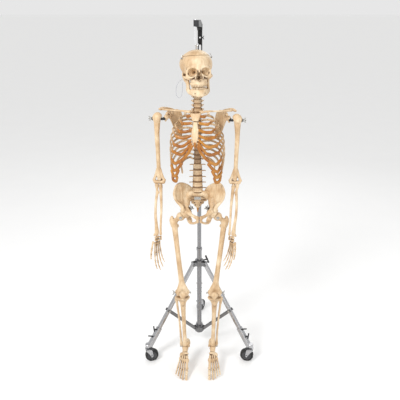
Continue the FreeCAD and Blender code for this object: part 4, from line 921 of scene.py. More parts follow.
def make_shoulder_blades(at):
    """Blades with their spines, acromions, beaks and sockets."""
    shoulder = at[0].T @ (pivot("shoulder_flex_left") - at[1]) - arr(SPINE_X, 0, 0)
    c = Clay((SPINE_X - 190, -190, 1276), (SPINE_X + 190, -62, 1470), 1.6)
    for s in (-1, 1):
        origin = arr(SPINE_X + s * 92, -86, 1424)
        u = unit((s * math.cos(BLADE_TURN), -math.sin(BLADE_TURN), 0))
        outline = [(0, 4), (16, 11), (34, 9), (56, 4), (62, -12), (50, -34), (38, -62), (24, -98), (12, -130),
                   (3, -139), (-5, -126), (-10, -90), (-12, -50), (-8, -18)]
        hollow = (lambda a, b: 0.0016 * s * ((a - 26) ** 2 + 0.25 * (b + 50) ** 2) - 2 * s)
        c.plate(origin, u, UP, outline if s > 0 else outline[::-1], 4.4, 2, bend=hollow, round_edge=1.6)

        def spot(a, b, off=0.0):
            n = np.cross(u, UP)
            return origin + a * u + b * UP + n * (hollow(a, b) + off * s)
        edge = [spot(*p) for p in ((60, -14), (49, -36), (37, -64), (23, -99), (10, -131))]
        c.rope(edge, [7.5, 5.2, 4.4, 4.2, 4.6], 3)
        c.rope([spot(*p) for p in ((3, -137), (-5, -120), (-10, -88), (-11, -50), (-8, -18), (0, 4))], 2.9, 2)
        c.rope([spot(*p) for p in ((0, 4), (18, 11), (38, 8))], 2.6, 2)
        ridge = sided([(86, -82, 1400), (104, -78, 1412), (126, -84, 1432), (150, -104, 1442),
                       (168, -130, 1448),
                       (178, -154, 1446)], s)
        c.rope(ridge, [4, 6, 8.5, 9.5, 10, 10.5], 3, thin=(0.2, 0.5, 1), flat=1.9)
        c.rope([np.array(p) + arr(0, -4, -7) for p in ridge[1:4]], [5, 7, 6], 4, thin=(0, 0.4, 1), flat=2.2)
        c.rope(sided([(130, -118, 1418), (142, -142, 1412), (150, -158, 1408)], s), [9, 9.5, 12], 5)
        c.egg((SPINE_X + s * 153, -162, 1406), (7, 12, 18), 4)
        c.rope(sided([(136, -138, 1422), (134, -154, 1434), (138, -172, 1437), (144, -184, 1431)], s),
               [8, 6.5, 6, 5.5], 4)
        c.egg((SPINE_X + s * shoulder[0], shoulder[1], shoulder[2] + 7), 25, 2, cut=True)
        c.egg((SPINE_X + s * (shoulder[0] - BOLT_REACH), shoulder[1], shoulder[2]), (15, 12, 11), 1, cut=True)
    bone(c, "shoulder_blades", "trunk", "scapulae", at=at)


# ---------------------------------------------------------------- pelvis
WING_TURN = math.radians(46)


def make_pelvis():
    low, high = node_box("hip_bones")
    for name, s in SIDES.items():
        socket, head = pivot(f"hip_flex_{name}"), pivot(f"hip_abduct_{name}")
        rod = unit(head - socket)
        c = Clay((min(s * 4, s * 138), -262, low[2] - 6), (max(s * 4, s * 138), -112, high[2] + 6), 1.7)

        def p(x, y, z):
            return arr(s * x, y, z)
        origin = p(43, -146, 1044)
        u = unit((s * math.cos(WING_TURN), -math.sin(WING_TURN), 0))
        outline = [(-12, -6), (6, 17), (34, 33), (60, 38), (84, 33), (104, 14), (112, -6), (108, -30),
                   (92, -46),
                   (78, -62), (66, -88), (30, -92), (14, -78), (8, -58), (-6, -44), (-14, -26)]

        def bend(a, b):
            return s * (0.0021 * (a - 58) ** 2 - 0.20 * (b + 40) - 5)
        c.plate(origin, u, UP, outline if s > 0 else outline[::-1], 5.2, 2, bend=bend, round_edge=2)
        n = np.cross(u, UP)

        def wing(a, b, off=0.0):
            return origin + a * u + b * UP + n * (bend(a, b) + s * off)
        crest = [wing(-12, -22), wing(-9, -6), wing(6, 14), wing(32, 31), wing(58, 36), wing(84, 31),
                 wing(103, 13),
                 wing(110, -5), wing(107, -26)]
        c.rope(crest, [8, 7.5, 6, 5.2, 7, 5.2, 5, 6, 4.5], 4)
        c.rope([wing(107, -26), wing(97, -44), p(88, -212, 975), p(80, -212, 952)], [5, 6, 9, 10], 5)
        c.rope([wing(-12, -24), wing(-4, -44), p(56, -150, 985), p(60, -162, 965)], [8, 8, 8, 10], 6)
        c.rope([wing(30, -52), p(66, -172, 972), p(68, -186, 950)], [9, 14, 19], 9)
        c.rope([wing(52, 30), wing(56, -10), wing(60, -50)], [4.6, 3.6, 5], 5)
        c.egg(socket + arr(-s * 3, 0, 3), 30, 6)
        c.rope([p(50, -152, 998), p(57, -176, 972), p(55, -202, 954), p(42, -226, 940)], [6, 6, 6.5, 7], 5)
        c.rope([p(64, -212, 944), p(42, -230, 936), p(24, -242, 930), p(9, -250, 925)], [9.5, 7.5, 8, 9], 4)
        c.rope([p(9, -249, 928), p(9, -249, 904)], [7.5, 6.5], 4, thin=(0, 1, 0), flat=1.2)
        c.rope([p(9, -247, 905), p(22, -234, 892), p(34, -214, 882), p(44, -196, 877)], [6.5, 6, 6, 8], 4,
               thin=(0.6, 0.6, 0), flat=1.35)
        c.rope([p(62, -176, 930), p(56, -172, 902), p(48, -178, 882)], [15, 12.5, 13], 6)
        c.egg(p(46, -184, 878), (10, 14, 11), 5)
        c.rope([p(58, -158, 935), p(50, -146, 930)], [6, 3], 4)
        c.egg(p(34, -206, 910), (15, 20, 14.5), 4, cut=True)
        c.egg(head - rod * 4 + arr(0, 0, 4), 24.5, 2.5, cut=True)
        c.egg(head, 24, 1, cut=True)
        c.rope([socket - rod * 60, socket + rod * 40], 4.6, 1, cut=True)
        c.rope([socket - rod * 33, socket - rod * 62], 16, 2, cut=True)
        bone(c, f"hip_bone_{name}", "trunk", *(["hip_bones"] if s > 0 else []))


# ---------------------------------------------------------------- arms
def arm_axes(name):
    """Along the elbow's hinge outwards, down the forearm, and forwards, as the joints give them."""
    s = SIDES[name]
    along = axis_of(f"elbow_flex_{name}") * -s
    elbow, wrist = pivot(f"elbow_flex_{name}"), pivot(f"wrist_flex_{name}")
    down = unit(wrist - elbow)
    front = unit(np.cross(down, along)) * s
    return along, down, front, elbow, wrist


SPOOL_R, BOLT_REACH = 9, 24


def make_arm(name):
    s = SIDES[name]
    along, down, front, elbow, wrist = arm_axes(name)
    shoulder = pivot(f"shoulder_flex_{name}")
    forward = np.cross(along, UP) * s
    middle_hinge = elbow - along * 8
    c = Clay(np.minimum(shoulder, elbow) - 40, np.maximum(shoulder, elbow) + 42, 1.6)
    c.egg(shoulder + arr(0, 0, 9) - along * 3, 22, 0)
    c.egg(shoulder + along * 10 + arr(0, -3, 4), (12, 15, 15), 6)
    c.egg(shoulder + along * 2 + forward * 15, (8, 7, 11), 5)
    top, low = shoulder + arr(0, 0, -2), elbow + arr(0, 0, 16)

    def shaft(t, out=0.0, ahead=0.0):
        return top + (low - top) * t + along * out + forward * ahead
    c.rope([shaft(0), shaft(0.1, 1), shaft(0.25, 2), shaft(0.5, 1), shaft(0.75, 0), shaft(0.9, -1),
            shaft(1, -2)],
           [17, 14.5, 11.5, 10.5, 10, 10.8, 10.5], 7)
    c.rope([shaft(0.08, 8, 8), shaft(0.22, 7, 6), shaft(0.36, 7, 5), shaft(0.5, 5, 3)], [5, 5, 5, 3], 5)
    c.rope([shaft(0.08, -4, 12), shaft(0.2, -5, 9)], [4.5, 3], 4)
    for out, reach in ((30, 26), (-31, 24)):
        c.rope([shaft(0.84, out * 0.25), elbow + along * out * 0.62 + UP * reach,
                elbow + along * out * 0.85 + UP * 9],
               [6, 6.5, 7.5], 6, thin=forward, flat=1.5)
    c.egg(elbow + along * -26 + UP * 8, (7, 7, 8), 4)
    c.egg(middle_hinge + front * 13 + UP * 15, (11, 8, 10), 3, cut=True)
    c.egg(middle_hinge - front * 13 + UP * 12, (12, 9, 14), 3, cut=True)
    c.rope([elbow - along * 21, elbow - along * 8, elbow + along * 2, elbow + along * 19],
           [10.5, 8.2, 9, 9.5], 1.5)
    hook_top, hook_low = middle_hinge - front * 13 + UP * 8, middle_hinge + down * 26 - front * 4
    c.rope([hook_low, hook_top + UP * 5 - front * 2], 9.4, 2, cut=True)
    c.egg(shoulder - along * BOLT_REACH, 13.2, 2, cut=True)
    c.rope([shoulder - along * 44, shoulder + along * 60], 4.5, 0.5, cut=True)
    bone(c, f"upper_arm_bone_{name}", f"upper_arm_{name}", f"humerus_{name}")
    medial = -along
    box = np.array([hook_top, hook_low, wrist, elbow])
    u = Clay(box.min(0) - 34, box.max(0) + 34, 1.5)
    u.rope([hook_top + UP * 4, hook_top, hook_low], [7.5, 9.5, 8.5], 0, thin=along, flat=1.15)
    u.rope([hook_low, middle_hinge + front * 11 + down * 12], [8.5, 5], 4)
    start, end = middle_hinge + down * 22 - front * 2, wrist + medial * 15 - down * 6
    bow = [start + (end - start) * t - front * b + medial * o
           for t, b, o in ((0, 0, 0), (0.2, 2, 2), (0.45, 3, 3), (0.7, 2, 1), (0.9, 0, 0), (1, 0, 0))]
    u.rope(bow, [9, 7.4, 6.2, 5.4, 5.2, 6.6], 5)
    u.rope([q - front * 4 for q in bow[:4]], [4, 3.6, 3, 2.4], 3)
    u.rope([end, end + down * 5 + medial * 3 - front * 2], [4, 2], 2)
    u.rope([elbow - along * 32, elbow + along * 32], SPOOL_R + 1.6, 1, cut=True)
    bone(u, f"elbow_bone_{name}", f"forearm_{name}", f"ulna_{name}")
    r = Clay(box.min(0) - 34, box.max(0) + 34, 1.5)
    top, end = elbow - medial * 11 + down * 13 + front, wrist - medial * 5 - down * 3
    line = [top + (end - top) * t + along * b + front * f
            for t, b, f in ((0, 0, 0), (0.035, 0, 0), (0.1, -1, 0), (0.16, -2, 1), (0.35, 4, 1), (0.6, 6, 1),
                            (0.82, 2, 0), (0.94, 0, 0), (0.99, 0, 0))]
    r.rope(line, [9.4, 9, 6.2, 7.2, 6.3, 6.6, 8.2, 11, 10], 1)
    r.egg(line[3] + medial * 5, (5, 5, 8), 3)
    r.egg(end + along * 5, (9, 9, 7), 5)
    r.rope([end + along * 12, end + along * 14 + down * 8], [4.5, 2.4], 3)
    r.egg(top - down * 8, (7, 7, 4.5), 2, cut=True)
    r.egg(wrist + down * 8, (14, 12, 7), 2, cut=True)
    bone(r, f"forearm_bone_{name}", f"forearm_{name}", f"radius_{name}")
    make_hand(name, wrist, down, front, medial)


FINGERS = [  # spread across the palm, metacarpal start, then lengths and the base radius
    ("thumb", 24, 8, (42, 30, 24), 6.0), ("index", 17, 26, (62, 38, 22, 17), 5.4),
    ("middle", 6, 27, (60, 42, 27, 17), 5.4), ("ring", -5, 26, (54, 39, 25, 17), 5.0),
    ("little", -15, 24, (50, 31, 18, 16), 4.6)]


def make_hand(name, wrist, down, front, medial):
    """Wrist bones in two rows, then each digit's bones end to end; the palm faces the thigh."""
    wide = unit(front * 0.8 - medial * 0.6)
    palm = unit(np.cross(wide, down))
    palm = palm if palm @ medial > 0 else -palm
    axes = np.stack([wide, palm, down])
    corners = [wrist + down * a + wide * b + palm * k for a in (0, 206) for b in (-34, 58) for k in (-12, 70)]
    c = Clay(np.min(corners, 0), np.max(corners, 0), 1.15)
    rows = ((0, (6.6, 7.2, 6.8, 5.0)), (1, (6.2, 8.0, 6.2, 6.4)))
    for row, sizes in rows:
        for i, size in enumerate(sizes):
            across = (i - 1.5) * 11.6
            along = 10.5 + 13 * row + 2.5 * row * (i == 1) - abs(i - 1.5) * 0.8
            spot = wrist + down * along + wide * -across
            c.egg(spot + palm * (0.12 * across * across * 0.12), (size, size * 0.88, size * 1.02), 0.3, axes)
    c.egg(wrist + down * 14 - wide * 17 + palm * 8, 4.2, 0.3)
    for digit, spread, start, lengths, radius in FINGERS:
        at, curl, thumb = wrist + down * (start + 8) + wide * spread * 0.9, 0, digit == "thumb"
        if thumb:
            at = wrist + down * 27 + wide * 33 + palm * 4
        for n, length in enumerate(lengths):
            fan = spread / 24.0 * (0.55 if thumb else 0.16)
            turn = math.radians((18 if thumb else 6) + curl)
            way = unit(down * math.cos(turn) + palm * math.sin(turn) + wide * fan)
            r = radius * (1 - 0.13 * n)
            last = n == len(lengths) - 1
            ends = (r, r * 1.02, r * 0.72, r * 0.66, r * 0.72, r * (0.6 if last else 0.96), r * 0.66)
            spots = (r * 0.7, r * 1.1, length * 0.32, length * 0.52, length * 0.72, length - r * 1.1,
                     length - r * 0.7)
            bow = [0, 0, 0.6, 1.0, 0.6, 0, 0]
            c.rope([at + way * t - palm * b for t, b in zip(spots, bow)], ends, 0.2, step=5)
            if last:
                c.egg(at + way * (length - 3.5), (r * 0.95, r * 0.5, r * 0.8), 1.2, axes)
            elif not thumb or n:
                for k in (-1, 1):
                    c.egg(at + way * (length - r) + np.cross(way, palm) * k * r * 0.4 + palm * 0.6, r * 0.62,
                          0.8)
            at = at + way * length
            curl += 12 if n else 9
    bone(c, f"hand_bones_{name}", f"hand_{name}", f"hand_{name}")


# ---------------------------------------------------------------- legs
KNEE_BACK = arr(0, 8, 0)  # the knee's hinge lies this far behind the bones' middle
HIP_SEAT = 36.3  # from the hip's pivot inwards to the wing nut's seat


def make_thigh(name):
    s = SIDES[name]
    socket, head, hinge = pivot(f"hip_flex_{name}"), pivot(f"hip_abduct_{name}"), pivot(f"knee_flex_{name}")
    rod = unit(head - socket)
    knee = hinge - KNEE_BACK
    c = Clay(np.minimum(head, knee) - 62, np.maximum(head, knee) + 64, 1.7)
    neck = head + arr(s * 34, 8, -32)
    c.egg(head, 22.5, 0)
    c.rope([head, head + (neck - head) * 0.5, neck], [15, 12, 15], 5, thin=(0, 1, 0), flat=1.15)
    c.rope([neck + arr(s * 12, 8, 20), neck + arr(s * 12, 6, 4), neck + arr(s * 6, 2, -18)], [8, 13, 14], 6)
    c.egg(neck + arr(-s * 16, 12, -30), (8, 8, 9), 6)
    c.rope([neck + arr(s * 10, 14, 12), neck + arr(-s * 6, 16, -12), neck + arr(-s * 15, 14, -26)],
           [4.5, 4, 4.5], 5)
    top, low = neck + arr(0, 0, -10), knee + unit(head - knee) * 34

    def shaft(t, ahead=0.0):
        return top + (low - top) * t + arr(0, -ahead, 0)
    c.rope([shaft(0), shaft(0.1, 2), shaft(0.3, 6), shaft(0.5, 8), shaft(0.72, 6), shaft(0.88, 2), shaft(1)],
           [16.5, 14.5, 13, 12.6, 13, 14.5, 16], 6)
    c.rope([shaft(0.1, -11), shaft(0.35, -6), shaft(0.6, -6), shaft(0.8, -9)], [4, 4.5, 4.5, 3.5], 6)
    for k in (-1, 1):
        c.rope([shaft(0.95, 0) + arr(k * 5, 0, 0), knee + arr(k * 15, 2, 26), knee + arr(k * 24, 6, 8)],
               [12, 13, 11], 6, thin=(0, 1, 0), flat=1.15)
        c.egg(knee + arr(k * 21, 10, -1), (14.5, 22, 18), 5)
        c.egg(knee + arr(k * 21, 1, 3), (12, 20, 15), 5)
        c.egg(knee + arr(k * 31, 9, 6), (6, 9, 9), 4)
    c.egg(knee + arr(0, 2, 10), (22, 15, 17), 8)
    c.egg(knee + arr(0, -20, 4), (8, 7, 24), 8, cut=True)
    c.egg(knee + arr(0, 26, -8), (8.5, 18, 18), 4, cut=True)
    c.plate(head, ACROSS, UP, [(-14, -14), (14, -14), (14, 14), (-14, 14)], 7.2, 0, cut=True, round_edge=0.2)
    c.rope([head, head - rod * 40], 5.6, 0, cut=True)
    for angle in range(-24, 25, 6):
        tilt = math.radians(angle)
        way = arr(math.cos(tilt) * rod[0] - math.sin(tilt) * rod[2], 0,
                  math.sin(tilt) * rod[0] + math.cos(tilt) * rod[2])
        c.rope([head, head - way * 40], 5.2, 0, cut=True)
    bone(c, f"thigh_bone_{name}", f"thigh_{name}", f"femur_{name}")
    k = Clay(knee + arr(-26, -42, -18), knee + arr(26, -14, 34), 1.3)
    centre = knee + arr(-3 * s, -29, 9)
    k.egg(centre, (19, 7.5, 18), 0)
    k.egg(centre + arr(0, -1, -13), (9, 5.5, 10), 6)
    k.egg(centre + arr(0, -2.5, 3), (15, 6, 14), 5)
    bone(k, f"kneecap_{name}", f"thigh_{name}", f"patella_{name}")


def make_shin(name):
    s = SIDES[name]
    hinge, ankle = pivot(f"knee_flex_{name}"), pivot(f"ankle_flex_{name}")
    knee = hinge - KNEE_BACK
    down = unit(ankle - knee)
    top = hinge + down * 22
    c = Clay(np.minimum(top, ankle) + arr(-52, -46, -24), np.maximum(top, ankle) + arr(52, 46, 12), 1.7)
    for k in (-1, 1):
        c.egg(top + arr(k * 19, 0, -8), (18, 22, 8.5), 5)
        c.egg(top + arr(k * 20, 2, 1), (12, 15, 5), 8, cut=True)
        c.egg(top + arr(k * 4, 2, 0), (3, 6, 3.5), 3)
        c.rope([top + arr(k * 22, 2, -12), top + down * 34 + arr(k * 8, 0, 0)], [13, 9], 8)
    c.egg(top + arr(0, -1, -10), (26, 19, 8), 6)
    start, end = top + down * 14, ankle - down * 16

    def shaft(t, x=0.0, y=0.0):
        return start + (end - start) * t + arr(s * x, y, 0)
    c.rope([shaft(0), shaft(0.1), shaft(0.3), shaft(0.55), shaft(0.8), shaft(0.95), shaft(1)],
           [20, 15.5, 12, 10.5, 10.5, 13.5, 16], 8)
    c.egg(top + down * 38 + arr(0, -17, 0), (8, 7, 14), 7)
    c.rope([shaft(0.14, 0, -14), shaft(0.3, 1, -10), shaft(0.5, 2, -8), shaft(0.72, 1, -6)], [5, 4.5, 4, 4],
           6)
    c.rope([ankle - down * 24 + arr(-s * 15, -2, 0), ankle - down * 6 + arr(-s * 21, -2, 0), ankle + down * 2
            + arr(-s * 21, -1, 0)], [9, 7, 5], 5, thin=(1, 0, 0), flat=1.35)
    c.egg(ankle + arr(0, -2, 0), (17.5, 25, 14.5), 2, cut=True)
    bone(c, f"shin_bone_{name}", f"shin_{name}", f"shin_bones_{name}")
    head_at = top + down * 21 + arr(s * 35, 12, 0)
    foot_at = ankle + arr(s * 19.5, 6, 0) + down * 4
    f = Clay(np.minimum(head_at, foot_at) - 16, np.maximum(head_at, foot_at) + 16, 1.5)
    f.rope([head_at + (foot_at - head_at) * t + arr(s * b, 0, 0)
            for t, b in ((0, 0), (0.05, 0), (0.14, -1), (0.4, -3), (0.7, -2), (0.88, 0), (0.95, 1), (1, 0))],
           [9, 8.4, 6, 5.4, 5.4, 6.4, 8.4, 6], 0)
    f.rope([head_at - down * 6, head_at - down * 11 + arr(0, 2, 0)], [4.5, 2.5], 3)
    bone(f, f"calf_bone_{name}", f"shin_{name}")


TOES = [(22, 9.5, 60, (30, 22)), (9, 6.2, 68, (24, 12, 9)), (-1, 5.8, 66, (22, 11, 8)),
        (-11, 5.6, 64, (20, 10, 8)),
        (-21, 5.6, 60, (18, 9, 8))]
FOOT_YAW, FOOT_PITCH = {"right": -12, "left": 6}, 33


def foot_frame(name):
    yaw, pitch = math.radians(FOOT_YAW[name]), math.radians(FOOT_PITCH)
    turn = np.array(Matrix.Rotation(yaw, 3, "Z") @ Matrix.Rotation(pitch, 3, "X"))
    return turn, pivot(f"ankle_flex_{name}")


def make_foot(name):
    """Ankle bones, instep bones and toes. Built flat with the toes at -Y, then hung from the ankle."""
    s = -SIDES[name]
    c = Clay((-46, -172, -64), (46, 66, 20), 1.3)

    def p(x, y, z):
        return arr(s * x, y, z)
    c.egg(p(0, -4, -5), (16, 21, 13), 0)
    c.rope([p(1, -14, -16), p(2, -40, -22), p(1, -58, -26)], [15, 14, 10], 5, thin=(0, 0, 1), flat=1.35)
    c.egg(p(3, -22, -12), (11, 10, 10), 4)
    c.egg(p(0, 14, -14), (10, 10, 8), 4)
    c.rope([p(-5, -28, -30), p(-3, -8, -31), p(0, 12, -32), p(3, 34, -38), p(3, 46, -42)],
           [9, 13, 15, 15.5, 11], 2,
           thin=(1, 0, 0), flat=1.05)
    c.rope([p(0, 50, -36), p(3, 48, -48)], [9, 8.5], 4)
    c.rope([p(2, -4, -24), p(13, -6, -21)], [6, 4.5], 4)
    c.egg(p(8, -35, -15), (16, 8, 12), 1)
    c.egg(p(17, -35, -19), (5, 5, 6), 4)
    c.egg(p(-15, -42, -26), (11.5, 14, 10), 1)
    for x, half in ((18, 7.6), (7, 6.2), (-4, 6.2)):
        c.egg(p(x, -53, -19), (half, 11, 10.5), 0.8)
        c.egg(p(x, -55, -25), (half * 0.9, 7, 6), 2)
    for x, radius, length, joints in TOES:
        inner = x > -9
        at = p(x * 0.92, -62 if inner else -56, -22 if inner else -27)
        way = unit(p(x * 1.25, (-62 if inner else -56) - length, -38) - at)
        r = radius
        spots = (r * 0.6, r * 1.2, length * 0.3, length * 0.55, length * 0.8, length - r, length - r * 0.75)
        sizes = (r * 1.15, r * 1.12, r * 0.82, r * 0.74, r * 0.82, r * 1.02, r * 0.9)
        c.rope([at + way * t + UP * b for t, b in zip(spots, (0, 0, 1, 2, 1.4, 0, 0))], sizes, 0.2, step=5)
        at = at + way * length
        for n, joint in enumerate(joints):
            step_way = unit((way[0], way[1], -0.06 - 0.22 * n))
            r = radius * (0.84 - 0.1 * n)
            last = n == len(joints) - 1
            c.rope([at + step_way * t for t in (r * 0.8, joint * 0.45, joint - r * 0.85)],
                   [r * 1.08, r * 0.8, r * (0.66 if last else 1.0)], 0.2, step=4)
            if last:
                c.egg(at + step_way * (joint - r * 0.8), (r * 1.1, r * 0.9, r * 0.5), 1)
            at = at + step_way * joint
    bone(c, f"foot_bones_{name}", f"foot_{name}", f"foot_{name}", at=foot_frame(name))


# ---------------------------------------------------------------- turned and bevelled hardware
class Shop:
    """Collects machined forms in millimetres and makes one object of them."""

    def __init__(self):
        self.bm = bmesh.new()

    def join(self, rings):
        """Walls between neighbouring rings, and a cap at each end."""
        for p, q in zip(rings, rings[1:]):
            for k in range(len(p)):
                n = (k + 1) % len(p)
                self.bm.faces.new((p[k], q[k], q[n], p[n]))
        self.bm.faces.new(rings[0])
        self.bm.faces.new(rings[-1][::-1])

    def lathe(self, a, axis, profile, segments=28):
        """Turns (distance along the axis, radius) pairs about a line from a."""
        axis = unit(axis)
        u = square_to(axis)
        v = np.cross(axis, u)
        rings = []
        for t, r in profile:
            ring = []
            for k in range(segments):
                angle = math.tau * k / segments
                out = (u * math.cos(angle) + v * math.sin(angle)) * r
                ring.append(self.bm.verts.new(np.asarray(a) + axis * t + out))
            rings.append(ring)
        self.join(rings)

    def shaft(self, a, b, r, thread=0.0):
        """A round bar with chamfered ends, threaded for a length before b."""
        length = float(np.linalg.norm(np.subtract(b, a)))
        profile = [(0, r * 0.8), (r * 0.2, r)]
        t = length - thread
        while thread and t < length - 1.2:
            profile += [(t, r), (t + 0.6, r * 0.84)]
            t += 1.25
        self.lathe(a, np.subtract(b, a), profile + [(length - r * 0.2, r), (length, r * 0.8)])

    def disc(self, a, axis, r, thick, edge=0.5):
        self.lathe(a, axis, [(0, r - edge), (edge, r), (thick - edge, r), (thick, r - edge)])

    def rod(self, points, r, segments=16):
        """A bent round bar."""
        line = curve_through(points, max(2.0, r))
        tangents = np.gradient(line, axis=0)
        u = square_to(unit(tangents[0]))
        rings = []
        for spot, way in zip(line, tangents):
            way = unit(way)
            u = unit(u - way * (u @ way))
            v = np.cross(way, u)
            rings.append([self.bm.verts.new(spot + (u * math.cos(g) + v * math.sin(g)) * r)
                          for g in np.arange(segments) * math.tau / segments])
        self.join(rings)

    def slab(self, origin, u, v, outline, thick, bevel=0.6):
        """A plate of an outline in the u, v plane, centred on it, with bevelled edges."""
        u, v, origin = unit(u), unit(v), np.asarray(origin, float)
        n = np.cross(u, v)
        low, high = ([self.bm.verts.new(origin + a * u + b * v + n * side * thick / 2) for a, b in outline]
                     for side in (-1, 1))
        faces = [self.bm.faces.new(low[::-1]), self.bm.faces.new(high)]
        for i in range(len(outline)):
            k = (i + 1) % len(outline)
            faces.append(self.bm.faces.new((low[i], low[k], high[k], high[i])))
        edges = list(dict.fromkeys(e for f in faces for e in f.edges))  # each once, in a fixed order
        bmesh.ops.bevel(self.bm, geom=edges, offset=bevel, segments=2, affect="EDGES",
                        clamp_overlap=True)

    def nut(self, base, axis, across, thick):
        axis = unit(axis)
        u = square_to(axis)
        outline = [(across * 0.577 * math.cos(k * math.pi / 3), across * 0.577 * math.sin(k * math.pi / 3))
                   for k in range(6)]
        self.slab(np.asarray(base) + axis * thick / 2, u, np.cross(axis, u), outline, thick, 0.7)

    def wing_nut(self, base, axis, span, size=1.0):
        """A turned boss with two thumb wings."""
        axis = unit(axis)
        span = unit(np.asarray(span) - axis * (np.asarray(span) @ axis))
        k = size
        self.lathe(base, axis, [(0, 5.6 * k), (0.8 * k, 6 * k), (5 * k, 4.8 * k), (6.6 * k, 4.2 * k),
                                (7 * k, 3.4 * k)])
        for s in (-1, 1):
            outline = [(3, 1.2), (7, 1.6), (12, 4.5), (15, 9), (14.6, 12.5), (12, 14), (9, 12.6), (6.6, 8.6),
                       (3, 6.0)]
            outline = [(a * k, b * k) for a, b in outline]
            self.slab(base, span * s, axis, outline, 2.6 * k, 0.8 * k)

    def make(self, name, body, material, *nodes):
        bmesh.ops.recalc_face_normals(self.bm, faces=self.bm.faces)
        for v in self.bm.verts:
            v.co *= MM
        mesh = bpy.data.meshes.new(name)
        self.bm.to_mesh(mesh)
        self.bm.free()
        mesh.polygons.foreach_set("use_smooth", np.ones(len(mesh.polygons), bool))
        mesh.set_sharp_from_angle(angle=CREASE)
        return place(link(name, mesh), body, MATERIALS[material], SLOTS[material], *nodes)


def make_arm_hardware(name):
    """The shoulder's bolt, washers and fork, and the elbow's pin."""
    along, _, _, elbow, _ = arm_axes(name)
    shoulder = pivot(f"shoulder_flex_{name}")
    inner, outer = shoulder - along * BOLT_REACH, shoulder + along * BOLT_REACH
    fore = np.cross(along, UP)
    bolt = Shop()
    bolt.shaft(inner + along * 4, outer + along * 17, 3.6, 26)
    bolt.lathe(inner - fore * 4.6, fore, [(0, 4.6), (0.8, 6.2), (8.4, 6.2), (9.2, 4.6)])
    bolt.disc(outer - along * 0.5, along, 8.5, 1.6)
    bolt.wing_nut(outer + along * 3.6, along, (0, 0.4, -1))
    bolt.disc(inner + along * 3, along, 6.5, 9, 1.0)
    bolt.make(f"shoulder_screw_{name}", f"bolt_{name}", "zinc", f"shoulder_bolt_{name}")
    spacer = Shop()
    spacer.disc(outer - along * 6.2, along, 9.5, 5.4, 1.0)
    spacer.disc(outer + along * 1.2, along, 6.4, 2.2, 0.5)
    spacer.make(f"shoulder_washers_{name}", f"bolt_{name}", "black")
    fork = Shop()
    for k in (-1, 1):
        side = inner + fore * k * 7
        outline = [(6 * math.cos(g), 6 * math.sin(g)) for g in np.linspace(-math.pi / 2, math.pi / 2, 9)]
        fork.slab(side, along, UP, outline + [(-18, 4.5), (-18, -4.5)], 2.6)
        fork.disc(inner + fore * k * 8.2, fore * k, 4.2, 2.6)
    fork.shaft(inner - fore * 11, inner + fore * 11, 2.4)
    fork.make(f"shoulder_fork_{name}", "trunk", "black")
    pin = Shop()
    for k in (-1, 1):
        pin.disc(elbow + along * k * 20, along * k, 5.4, 1.2)
        pin.lathe(elbow + along * k * 21, along * k, [(0, 3.6), (1.2, 3.4), (2.4, 2.0)])
    pin.make(f"elbow_pin_{name}", f"upper_arm_{name}", "zinc")


def make_leg_hardware(name):
    """The hip's rod, nuts and pin, the knee's screw and the ankle's pins."""
    socket, head = pivot(f"hip_flex_{name}"), pivot(f"hip_abduct_{name}")
    rod = unit(head - socket)
    seat = socket - rod * HIP_SEAT
    cross = np.cross(rod, (0, 1, 0))
    hip = Shop()
    hip.shaft(head - rod * 8, seat - rod * 14, 3.8, 26)
    hip.disc(head - arr(0, 3, 0), (0, 1, 0), 9, 6, 0.8)
    hip.shaft(head - arr(0, 14, 0), head + arr(0, 14, 0), 2.9)
    hip.disc(seat + rod * 0.4, -rod, 9.5, 1.8)
    hip.make(f"hip_screw_{name}", f"hip_rod_{name}", "black", f"hip_rod_{name}")
    nut = Shop()
    nut.wing_nut(seat - rod * 1.6, -rod, cross, 0.9)
    nut.make(f"hip_wing_nut_{name}", f"hip_rod_{name}", "zinc")
    pin = Shop()
    pin.disc(head + FRONT * 21, FRONT, 8.5, 2.4, 0.6)
    pin.nut(head + FRONT * 23.4, FRONT, 10, 4.5)
    pin.shaft(head + FRONT * 15, head + FRONT * 31, 2.9, 4)
    pin.make(f"hip_pin_{name}", f"thigh_{name}", "zinc")
    knee, out = pivot(f"knee_flex_{name}"), arr(SIDES[name], 0, 0)
    k = Shop()
    k.shaft(knee - out * 45, knee + out * 50, 2.9, 14)
    k.nut(knee - out * 45.5, out, 10, 4.2)
    k.disc(knee - out * 41.4, out, 7.5, 1.4)
    k.disc(knee + out * 40.0, out, 7.5, 1.4)
    k.wing_nut(knee + out * 41.6, out, (0, 0.5, 1), 0.85)
    k.make(f"knee_screw_{name}", f"thigh_{name}", "zinc", f"knee_rod_{name}")
    ankle = pivot(f"ankle_flex_{name}")
    a = Shop()
    for k in (-1, 1):
        end = ankle + out * k * (29 if k > 0 else 26)
        a.shaft(ankle + out * k * 14, end, 2.2, 6)
        a.nut(end - out * k * 5, out * k, 7, 3)
    a.make(f"ankle_pins_{name}", f"shin_{name}", "zinc")


